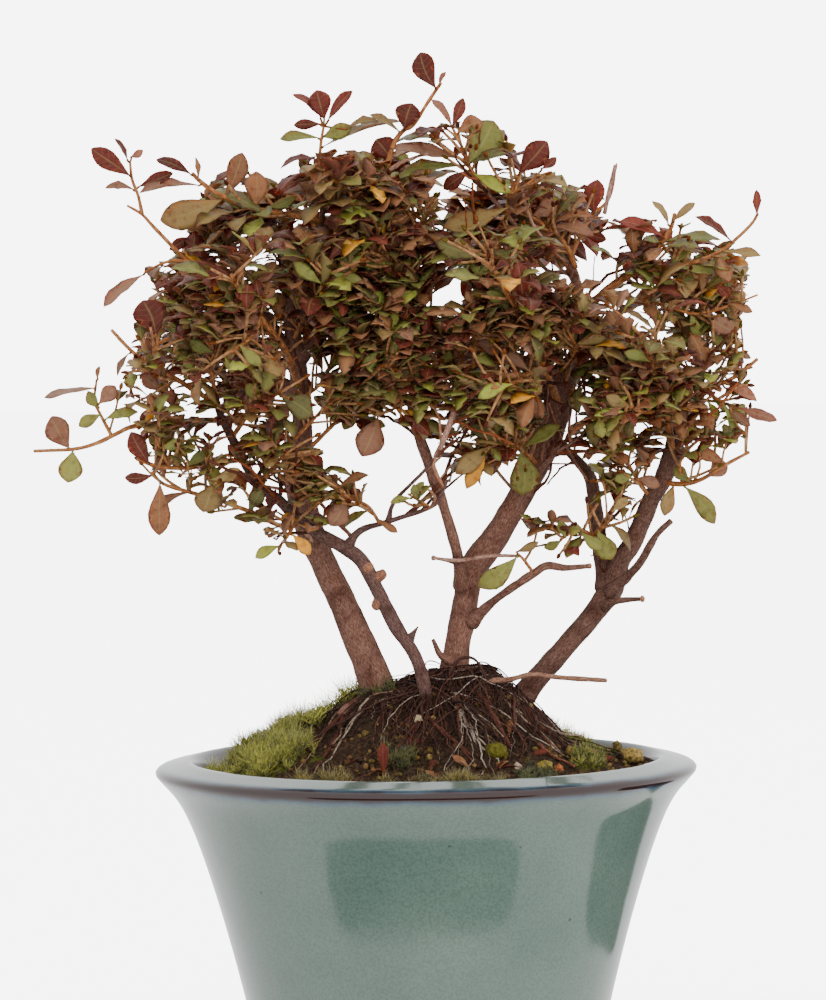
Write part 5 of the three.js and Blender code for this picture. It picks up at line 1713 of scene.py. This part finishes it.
SPRAYS = [
    Row("upper_left_tip", 101, 3, [[5, (216,270,-12), (189,261,-14), (157,230,-16), (143,215,-17),
        (128,206,-18)], [4.5, (143,215,-17), (139,196,-18), (133,180,-19), (131,163,-20)], [4, (189,261,-14),
        (168,262,-15), (146,272,-17)]], 0, "BBPWBW", [(132,177,92,149,20), (129,162,116,139,5),
        (131,158,144,151,8), (136,191,106,188,8), (138,188,174,174,13), (145,274,104,307,13)]),
    Row("upper_left_long", 102, 3, [[7, (322,222,-5), (290,215,-8), (257,210,-11), (229,199,-13),
        (213,191,-15), (200,181,-16), (193,174,-17)]], 0, "BWNNNGO", [(193,176,157,160,12),
        (201,186,140,194,8), (199,181,196,158,5), (226,197,243,153,22), (255,208,257,172,25),
        (267,208,297,197,12), (223,200,161,221,31)]),
    Row("top_left", 103, 2, [[5, (324,208,-6), (321,184,-8), (320,165,-9), (321,146,-10), (324,127,-11)]], 0,
        "RRRBGGOOB", [(325,121,317,91,24), (322,120,295,93,9), (328,122,353,92,12), (322,125,294,126,11),
        (320,139,280,139,11), (322,138,352,127,17), (346,130,379,123,8), (322,148,398,117,7),
        (319,161,280,166,7)]),
    Row("left_shoulder", 104, 5, [[5, (318,235,-2), (305,206,10), (290,190,20), (268,188,26)]], 0, "B",
        [(272,189,240,181,10)]),
    Row("left_high", 105, 6, [[5, (240,285,-4), (236,262,8), (228,240,18), (218,222,24)], [4, (236,262,8),
        (214,244,6), (196,236,4)]], 0, "B", [(196,238,170,250,12)]),
    Row("left_middle", 106, 6, [[5, (215,352,18), (200,328,12), (190,305,6), (180,285,2)]]),
    Row("left_rear", 107, 6, [[5, (174,336,20), (158,345,26), (148,360,32)], [4, (158,345,26), (162,320,32),
        (170,300,36)]]),
    Row("left_front", 108, 9, [[8, (299,384,7), (285,350,-14), (262,320,-32), (245,300,-42), (232,275,-50)],
        [5, (262,320,-32), (250,338,-44), (232,352,-54)]], 0, "BG", [(236,282,206,268,14),
        (240,345,262,366,13)]),
    Row("heart_front", 109, 6, [[5, (294,340,7), (304,318,-12), (318,296,-26), (330,272,-34)]], 8, "GBG",
        [(322,284,294,262,15), (328,262,352,238,13), (330,272,362,280,12)]),
    Row("heart_left", 110, 5, [[5, (344,308,3), (362,322,-12), (378,338,-24), (388,356,-32)]], 12, "G",
        [(386,350,362,372,14)]),
    Row("heart_high", 111, 6, [[5, (369,266,2), (364,240,10), (370,216,18), (380,196,24)]], 6, "B",
        [(370,232,346,222,12)]),
    Row("upper_heart", 112, 5, [[5, (360,218,-10), (350,197,-24), (342,180,-34)]], 6, "B",
        [(346,194,372,198,9)]),
    Row("top_middle", 113, 2, [[6, (387,168,-12), (394,144,-13), (404,131,-14), (413,126,-14), (430,100,-15),
        (441,84,-16)]], 0, "OBBPB", [(400,133,371,114,7), (404,131,412,104,26), (436,90,420,53,24),
        (439,87,446,73,5), (391,160,376,140,27)]),
    Row("back_left_high", 114, 9, [[7, (300,384,12), (306,340,28), (300,295,44), (292,262,56), (272,236,64)],
        [5, (300,295,44), (320,268,48), (342,246,52)]], 8),
    Row("back_left_low", 115, 9, [[7, (302,432,14), (270,410,30), (235,380,44), (200,356,54)],
        [5, (270,410,30), (262,378,40), (258,346,50)]]),
    Row("far_left", 116, 2, [[6, (224,420,-19), (180,421,-23), (135,426,-26), (116,434,-27), (97,443,-27),
        (74,449,-28), (34,451,-29)], [4, (112,436,-27), (101,415,-28), (95,401,-29), (97,380,-29)]], 0,
        "WGWWGGGN", [(70,449,52,416,26), (73,450,68,483,25), (96,388,44,396,8), (99,404,116,386,17),
        (100,408,88,391,12), (102,414,79,426,13), (104,420,138,411,11), (98,380,100,366,5)]),
    Row("low_left", 117, 4, [[6, (302,521,-11), (282,526,-13), (256,514,-18), (221,501,-24), (193,493,-28),
        (164,484,-30), (152,472,-32)], [4, (221,501,-24), (214,488,-30), (208,476,-33)]], 3, "BNWOOD",
        [(154,475,124,478,12), (160,482,159,536,23), (192,492,152,513,8), (212,484,203,512,28),
        (210,480,240,469,13), (248,511,262,488,16)]),
    Row("low_middle", 118, 5, [[6, (243,459,-17), (214,464,-24), (183,468,-27), (156,466,-30),
        (137,459,-32)], [4, (170,467,-29), (160,448,-33), (156,432,-35)]], 0, "BGG", [(150,464,131,432,20),
        (186,467,212,452,12), (160,448,182,440,12)]),
    Row("left_outer", 119, 6, [[6, (218,404,-20), (194,390,-24), (175,378,-26), (152,367,-28), (131,350,-29),
        (112,330,-30)], [4, (152,367,-28), (158,345,-31), (156,334,-33)], [4, (175,378,-26), (160,396,-19),
        (150,404,-16)]], 0, "BWW", [(157,338,143,300,34), (162,392,142,376,15), (131,352,118,376,6)]),
    Row("front_tip", 120, 6, [[5, (216,398,-20), (212,370,-24), (216,345,-27), (224,322,-28)]], 0, "G",
        [(214,352,190,340,13)]),
    Row("front_middle", 121, 6, [[5, (232,438,-18), (246,418,-26), (262,402,-33), (282,392,-38)]], 0, "DG",
        [(280,396,312,416,26), (262,402,246,384,14)]),
    Row("front_low", 122, 5, [[5, (260,487,-14), (272,468,-22), (288,452,-27)]], 0, "O",
        [(276,464,300,470,12)]),
    Row("low_yellow", 123, 4, [[5, (297,517,-12), (290,532,-19), (280,546,-22)]], 0, "YLY",
        [(298,522,281,517,15), (280,546,255,558,12), (292,534,310,555,14)]),
    Row("arm", 124, 4, [[4, (380,524,-16), (368,506,-20), (350,498,-22), (334,484,-23)]], 10, "WNGN",
        [(346,498,330,526,24), (338,488,368,474,9), (370,510,342,526,9), (376,518,398,532,8)]),
    Row("arm_tip", 125, 2, [[4, (430,508,-23), (418,500,-27), (408,494,-29)]], 0, "GGG",
        [(412,498,390,502,8), (418,500,414,484,9), (409,495,424,482,9)]),
    Row("center_low", 126, 4, [[4, (410,402,-13), (396,408,-17), (378,416,-18)], [4, (396,408,-17),
        (402,384,-20), (408,362,-22)]], 18, "WGY", [(378,417,362,456,30), (406,376,431,357,18),
        (398,409,424,418,11)]),
    Row("inner_arc", 127, 5, [[4, (464,355,-4), (470,344,-18), (480,334,-30), (492,326,-38)]], 12, "BWG",
        [(473,345,505,366,13), (474,342,504,350,18), (466,350,440,362,12)]),
    Row("inner_top", 128, 4, [[4, (396,268,-14), (384,256,-18), (372,250,-21)]], 12, "GB",
        [(392,264,356,266,13), (380,252,406,240,12)]),
    Row("upper_middle", 129, 5, [[4, (430,226,-4), (414,214,-14), (398,206,-22)]], 6, "NO",
        [(412,216,388,228,16), (428,216,436,196,14)]),
    Row("crown_front", 130, 2, [[5, (480,186,-7), (468,165,-11), (462,148,-13), (452,128,-14)]], 8,
        "GDWGBLNRP", [(468,164,494,121,38), (468,165,510,153,11), (461,160,390,147,14), (463,166,396,178,14),
        (470,170,443,190,15), (472,174,511,193,15), (457,134,482,122,20), (452,128,463,99,12),
        (452,128,432,100,9)]),
    Row("crown_right", 131, 4, [[5, (505,215,-4), (510,195,-9), (518,176,-11)], [4, (510,195,-9),
        (528,184,-12), (540,172,-13)]], 0, "BOBO", [(518,174,547,142,27), (508,208,443,228,22),
        (540,170,556,158,9), (535,176,560,182,9)]),
    Row("orange_twig", 132, 4, [[6, (575,268,10), (566,246,6), (552,232,4), (530,216,0)]], 0, "WWN",
        [(532,216,556,202,21), (550,228,593,234,14), (548,226,590,214,7)]),
    Row("crown_rear", 133, 5, [[5, (569,260,10), (580,236,22), (592,215,30)], [4, (592,215,30), (609,198,32),
        (616,164,32)]], 0, "RR", [(594,214,597,180,22), (582,234,606,240,12)]),
    Row("center_high", 134, 5, [[5, (526,244,3), (512,252,-12), (498,258,-24), (484,256,-32)]], 8, "BND",
        [(512,252,532,262,13), (496,257,486,240,18), (484,256,436,242,25)]),
    Row("center_front", 135, 10, [[8, (558,402,8), (544,366,-14), (526,326,-34), (506,292,-46),
        (490,262,-52)], [5, (544,366,-14), (530,372,-30), (512,384,-42), (492,388,-48)]], 18, "LWG",
        [(512,384,478,398,14), (530,372,500,352,14), (512,302,486,292,14)]),
    Row("center_middle", 136, 5, [[5, (538,464,8), (520,450,-4), (504,442,-10), (488,446,-14)]], 16, "GODYG",
        [(520,450,522,496,31), (490,446,455,474,20), (500,442,468,424,15), (486,450,466,488,16),
        (522,448,560,424,14)]),
    Row("knob", 137, 5, [[5, (566,378,9), (572,358,-10), (574,344,-22), (564,326,-30)]], 16, "DO",
        [(574,350,562,332,22), (574,346,606,338,13)]),
    Row("low_sprig", 138, 1, [[4, (534,574,-6), (524,560,-9), (516,552,-11)]], 0, "GO",
        [(518,556,478,588,22), (516,552,538,542,9)]),
    Row("back_center_high", 139, 9, [[6, (508,288,57), (495,262,62), (480,238,66)], [5, (495,262,62),
        (520,244,60), (545,228,56)]], 10),
    Row("back_center_low", 140, 9, [[6, (532,352,36), (512,376,44), (480,384,52), (446,376,56)],
        [5, (512,376,44), (500,410,48), (498,440,50)]], 12),
    Row("right_top", 141, 6, [[7, (580,318,12), (606,291,4), (627,277,0), (645,262,-4), (659,246,-6),
        (670,229,-8), (674,214,-9)], [5, (627,277,0), (650,270,-3), (681,266,-6), (713,255,-8), (731,243,-9),
        (750,225,-10), (757,214,-10)]], 0, "OORGRBOGGG", [(668,226,653,200,8), (672,222,694,203,9),
        (664,238,619,221,14), (662,242,720,239,10), (756,216,755,190,9), (731,242,695,216,9),
        (722,252,760,254,9), (676,267,715,272,9), (668,267,690,248,9), (648,270,674,286,10)]),
    Row("right_middle", 142, 6, [[7, (581,330,12), (610,318,6), (636,302,4), (668,293,2), (699,286,0),
        (731,280,-2), (743,273,-3)], [4, (636,302,4), (659,304,-2), (674,309,-5), (697,314,-7), (728,306,-8),
        (757,295,-9)]], 0, "GGRWGNO", [(700,286,676,274,12), (708,285,731,268,9), (712,284,729,300,12),
        (706,312,733,332,22), (690,312,698,338,12), (728,304,752,312,9), (652,303,664,330,12)]),
    Row("right_lower", 143, 5, [[6, (682,398,-4), (696,372,0), (706,346,2), (708,322,2)], [4, (696,372,0),
        (716,358,-6), (733,350,-8)]], 4, "OWWGG", [(733,350,740,340,8), (733,351,751,358,7),
        (712,360,690,364,10), (706,346,662,340,10), (708,324,722,348,12)]),
    Row("right_tip", 144, 5, [[6, (676,424,-4), (706,392,-12), (736,376,-16), (757,359,-19)],
        [4, (706,392,-12), (722,402,-17), (736,408,-19)]], 0, "PPWG", [(724,388,757,400,11),
        (736,407,777,420,12), (728,406,750,426,11), (722,402,735,434,10)]),
    Row("right_low", 145, 4, [[6, (662,482,-2), (682,484,-8), (702,479,-11), (725,465,-15), (749,452,-18)],
        [4, (682,484,-8), (680,464,-14), (688,446,-17)]], 0, "NWGGO", [(727,464,694,450,14),
        (706,477,728,466,16), (690,482,675,466,14), (684,486,715,524,19), (674,484,664,516,15)]),
    Row("right_front", 146, 9, [[7, (672,448,-6), (666,410,-24), (654,372,-38), (642,334,-46)],
        [5, (666,410,-24), (644,412,-34), (624,404,-42)]], 0, "GO", [(650,362,624,352,13),
        (630,406,606,396,13)]),
    Row("fork", 147, 5, [[5, (600,548,7), (592,536,-2), (578,530,-8), (560,540,-11)], [4, (592,536,-2),
        (606,524,-8), (614,510,-11)]], 0, "GGOGGO", [(598,530,612,560,24), (580,531,604,549,13),
        (606,522,630,552,8), (562,540,544,548,10), (566,538,560,520,10), (612,512,628,498,11)]),
    Row("right_inner", 148, 6, [[5, (652,500,0), (636,478,-6), (622,452,-10), (612,428,-12)]], 0, "WG",
        [(636,478,660,486,14), (634,474,614,480,13)]),
    Row("back_right", 149, 9, [[6, (699,352,50), (690,318,58), (672,290,62)], [5, (690,318,58), (712,300,56),
        (726,282,52)]]),
]

# Short leafy shoots that grow straight from the limbs, deep in the crown.
INNER_SHOOTS = [
    Row("arc", 201, 9, [[5, (450,345,-6), (423,312,-10), (410,290,-12), (394,264,-14)]]),
    Row("heart", 202, 8, [[4, (288,446,-16), (330,404,-22), (372,380,-26), (396,366,-28)]], 0, "P",
        [(382,374,400,396,12)]),
    Row("fork", 203, 5, [[5, (312,446,8), (338,420,2), (360,398,-4), (384,372,-8)]], 0, "G",
        [(352,406,344,430,14)]),
    Row("pillar", 204, 5, [[4, (300,400,6), (322,382,4), (336,350,2), (346,330,0)]], 0, "L",
        [(330,366,350,352,12)]),
    Row("middle", 205, 9, [[4, (464,355,-4), (440,372,-14), (420,384,-20), (396,388,-24)]], 0, "O",
        [(420,384,398,372,14)]),
    Row("right", 206, 9, [[5, (573,360,12), (600,372,2), (622,380,-6), (640,392,-12)]], 0, "G",
        [(620,380,640,366,14)]),
]


@dataclass
class Litter:
    """What has fallen on the mound: dead leaves, a dead stick and a cut stub. Sizes in mm or squares."""

    stick: tuple = DEAD_STICK
    leaves: tuple = (
        (384, 777, 383, 743, 12, "B"), (395, 748, 422, 742, 9, "B"), (548, 741, 559, 770, 8, "N"),
        (530, 757, 548, 752, 7, "B"), (470, 770, 452, 757, 8, "N"), (575, 762, 592, 768, 7, "N"),
        (436, 752, 448, 764, 7, "O"), (600, 765, 612, 757, 6, "B"),
    )
    scattered: int = 26
    reach: float = 66.0
    cut_root: tuple = (418, 722, 4.4)
    seed: int = 14

    def build(self) -> None:
        """Makes the stick, then the leaves that show, then a few more round the mound."""
        stick = stem(VIEW.stations(self.stick), 0.8, (0.16, 2.6, 41), 12, "#d9cbb8")
        show("dead_stick_bark", stick, BARK, ["dead_stick"])
        x, y, wide = self.cut_root
        middle = MOUND.under([(x, y)], 0.4)[0]
        out = unit(-SIGHT + 0.25 * UP)
        stub = middle + out * np.array([[-4.0], [-1.5], [1.2], [2.2], [2.4]])
        around = wide / VIEW.per_mm * np.array([[0.8, 0.9, 1.0, 1.04, 0.7]])
        show("cut_root_stub", tubes(stub[None], around, 14, tinted(["#efdfb2"])), CUT_WOOD)
        rng = np.random.default_rng(self.seed)
        plans = []
        for x0, y0, x1, y1, wide, letter in self.leaves:
            foot = MOUND.under([(x0, y0)], 0.2)[0]
            tip = VIEW.seen((x1, y1, foot[1]))
            plans.append(LeafPlan(foot, tip, -SIGHT + 0.6 * UP, wide / VIEW.per_mm, Tint[letter]))
        reach = self.reach * np.sqrt(rng.random(self.scattered))
        turn = rng.uniform(0, 2 * pi, self.scattered)
        x, y = reach * np.cos(turn), reach * np.sin(turn)
        bearing = rng.uniform(0, 2 * pi, self.scattered)
        long = rng.uniform(5, 9, self.scattered)
        x1, y1 = x + long * np.cos(bearing), y + long * np.sin(bearing)
        feet = abreast(x, y, MOUND.surface(x, y) + 0.5)
        tips = abreast(x1, y1, np.maximum(MOUND.surface(x1, y1) + 0.9, feet[:, 2]))
        letters = rng.choice(list("BN"), self.scattered)
        plans += [
            LeafPlan(foot, tip, UP, float(size) * 0.38, Tint[letter])
            for foot, tip, size, letter in zip(feet, tips, long, letters)
        ]
        show("fallen_leaves", FINE_BLADE.skin(plans, rng), DEAD_LEAF)


@dataclass(frozen=True)
class MeshPlastic(Finish):
    """Black plastic drain mesh: square holes between moulded ribs."""

    name: str = "drain_mesh_plastic"
    rough: float = 0.45
    hole_mm: float = 2.0

    def dress(self, node: Callable, shader: Any) -> None:
        """Darker squares in a grid, with the ribs standing above them."""
        at = node("TexCoord", out="Object")
        grid = {"Vector": at, "Scale": 1000 / self.hole_mm, "Brick Width": 1.0, "Row Height": 1.0}
        shades = {"Color1": "#0c0d0c", "Color2": "#101110", "Mortar": "#2d2f2e", "Mortar Size": 0.22}
        holes = node("TexBrick", {**grid, **shades}, offset=0.0).node.outputs
        bump = node("Bump", {"Height": holes["Fac"], "Strength": 0.6, "Distance": 0.0005})
        dressed(shader, Base_Color=holes["Color"], Normal=bump)


# The studio.


class Seen(Enum):
    """Which rays meet a piece of studio equipment."""

    BY_CAMERA = "camera"
    IN_GLOSS = "glossy"


@dataclass
class Studio:
    """White surroundings, a pale floor, soft lights, and dark cards that the glaze mirrors.

    Sizes are in metres, and a card's are in millimetres and degrees from straight ahead.
    """

    floor_r: float = 6.5
    room_r: float = 7.0
    backdrop: float = 6.0
    mirrored: float = 0.75
    sky: float = 1.0
    lamps: tuple = (
        ("key", (-0.8, -1.5, 1.9), 1.2, 4.0),
        ("fill", (0.3, -1.9, 0.7), 1.6, 22.0),
        ("side", (1.7, -0.8, 0.5), 1.0, 9.0),
        ("back", (0.3, 1.4, 1.9), 1.2, 4.0),
    )
    cards: tuple = ((141, 141, 250, -46, 42), (152, 182, 300, 83, 127))
    corner: float = 5.0
    middle: tuple[float, float, float] = (0, 0, 0.18)
    floor_light: float = 1.06

    def equip(self, name: str, points: Array, faces: list, glow: float, seen: Seen) -> Piece:
        """Makes a piece of equipment that only one kind of ray meets.

        Args:
            name: Its name.
            points: Its points in m.
            faces: The points of each face.
            glow: How much light it gives. Without any, it is black.
            seen: The rays that meet it.

        Returns:
            The piece.
        """
        paint = bpy.data.materials.new(name + "_paint")
        paint.use_nodes = True
        shader = paint.node_tree.nodes["Principled BSDF"]
        dressed(shader, Base_Color="#0a0b0a" if glow == 0 else "#f4f4f4", Roughness=0.9)
        dressed(shader, Emission_Color="#ffffff", Emission_Strength=glow)
        mesh = bpy.data.meshes.new(name)
        mesh.from_pydata(points.tolist(), [], faces)
        mesh.materials.append(paint)
        made = placed(name, mesh)
        for ray in ("camera", "glossy", "diffuse", "transmission", "volume_scatter", "shadow"):
            setattr(made, "visible_" + ray, ray == seen.value)
        return made

    def room(self, name: str, glow: float, seen: Seen, scale: float) -> None:
        """Makes a sphere round everything: its rings stand by equal turns of latitude.

        Args:
            name: Its name.
            glow: How much light it gives.
            seen: The rays that meet it.
            scale: Its size, as a share of the room's.
        """
        lat, lon = np.meshgrid(np.linspace(-pi / 2, pi / 2, 25), np.linspace(0, 2 * pi, 49), indexing="ij")
        ball = abreast(np.cos(lat) * np.cos(lon), np.cos(lat) * np.sin(lon), np.sin(lat))
        at = (np.arange(24)[:, None] * 49 + np.arange(48)).reshape(-1, 1)
        faces = at + np.array([0, 49, 50, 1])
        self.equip(name, (ball * self.room_r * scale).reshape(-1, 3), faces.tolist(), glow, seen)

    def card(self, number: int, near: float, near_end: float, far: float, start: float, stop: float) -> None:
        """Makes a dark card on the floor: a part of a ring round the pot, with rounded corners.

        Its outline is a superellipse, with the bearing and the distance as its two directions.

        Args:
            number: Its number.
            near: Distance of its near edge where it starts, in mm.
            near_end: Distance of its near edge where it stops.
            far: Distance of its far edge.
            start: Bearing where it starts, in degrees.
            stop: Bearing where it stops.
        """
        s = turns(120)
        across = np.sign(np.cos(s)) * np.abs(np.cos(s)) ** (2 / self.corner)
        along = np.sign(np.sin(s)) * np.abs(np.sin(s)) ** (2 / self.corner)
        turn = np.radians((start + stop) / 2 + across * (stop - start) / 2)
        low = near + (near_end - near) * (across + 1) / 2
        reach = ((low + far) / 2 + along * (far - low) / 2) / 1000
        points = abreast(reach * np.sin(turn), -reach * np.cos(turn), 0.001)
        self.equip("studio_card_%d" % number, points, [list(range(120))], 0.0, Seen.IN_GLOSS)

    def lamp(self, name: str, place: tuple, size: float, power: float) -> None:
        """Makes a round soft light aimed at the bonsai.

        Args:
            name: Its name.
            place: Where it stands, in m.
            size: How wide it is, in m.
            power: Its power in W.
        """
        data = bpy.data.lights.new(name, "AREA")
        data.shape = "DISK"
        data.size = size
        data.energy = power
        made = placed(name, data)
        aim = Vector(self.middle) - Vector(place)
        made.matrix_world = Matrix.Translation(place) @ aim.to_track_quat("-Z", "Y").to_matrix().to_4x4()
        made.visible_camera = False
        made.visible_glossy = False

    def build(self) -> None:
        """Makes the camera, the surroundings, the floor with its own light, and the lamps."""
        VIEW.camera()
        self.room("studio_backdrop", self.backdrop, Seen.BY_CAMERA, 1.0)
        self.room("studio_glow", self.mirrored, Seen.IN_GLOSS, 0.97)
        circle = abreast(np.cos(turns(96)), np.sin(turns(96)), 0) * self.floor_r
        floor = self.equip("studio_floor", circle, [list(range(96))], 0.0, Seen.BY_CAMERA)
        dressed(floor.active_material.node_tree.nodes["Principled BSDF"], Base_Color="#f6f6f6")
        for number, row in enumerate(self.cards):
            self.card(number, *row)
        world = bpy.data.worlds.new("studio")
        world.use_nodes = True
        dressed(world.node_tree.nodes["Background"], Color="#ffffff", Strength=self.sky)
        bpy.context.scene.world = world
        for row in self.lamps:
            self.lamp(*row)
        lit = bpy.data.collections.new("lit_floor")
        lit.objects.link(floor)
        over = bpy.data.lights.new("floor_light", "SUN")
        over.energy = self.backdrop * pi * self.floor_light
        over.angle = radians(60)
        placed("floor_light", over).light_linking.receiver_collection = lit


TRUNKS = (
    Trunk("trunk_left", TRUNK_LEFT_LIMBS, TRUNK_LEFT_ROOTS, "#b8a89f", seed=1),
    Trunk("trunk_front", TRUNK_FRONT_LIMBS, TRUNK_FRONT_ROOTS, "#958e90", (3, 4, 5), (3, 4, 5), 2),
    Trunk("trunk_center", TRUNK_CENTER_LIMBS, TRUNK_CENTER_ROOTS, "#baa99f", stubs=(2, 10), seed=3),
    Trunk("trunk_right", TRUNK_RIGHT_LIMBS, TRUNK_RIGHT_ROOTS, "#9a8e88", stubs=(3,), seed=4),
)


def main() -> None:
    """Builds the studio and the bonsai."""
    Studio().build()
    Pot().build()
    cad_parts["drain_screen"].material_slots[0].material = MeshPlastic().material()
    MOUND.build()
    Grit().build()
    Moss().build()
    FineRoots().build()
    for trunk in TRUNKS:
        trunk.build()
    BareTwigs().build(Crown(), TRUNKS)
    Litter().build()
    Sprays().build()
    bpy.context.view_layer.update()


if __name__ == "__main__":
    main()
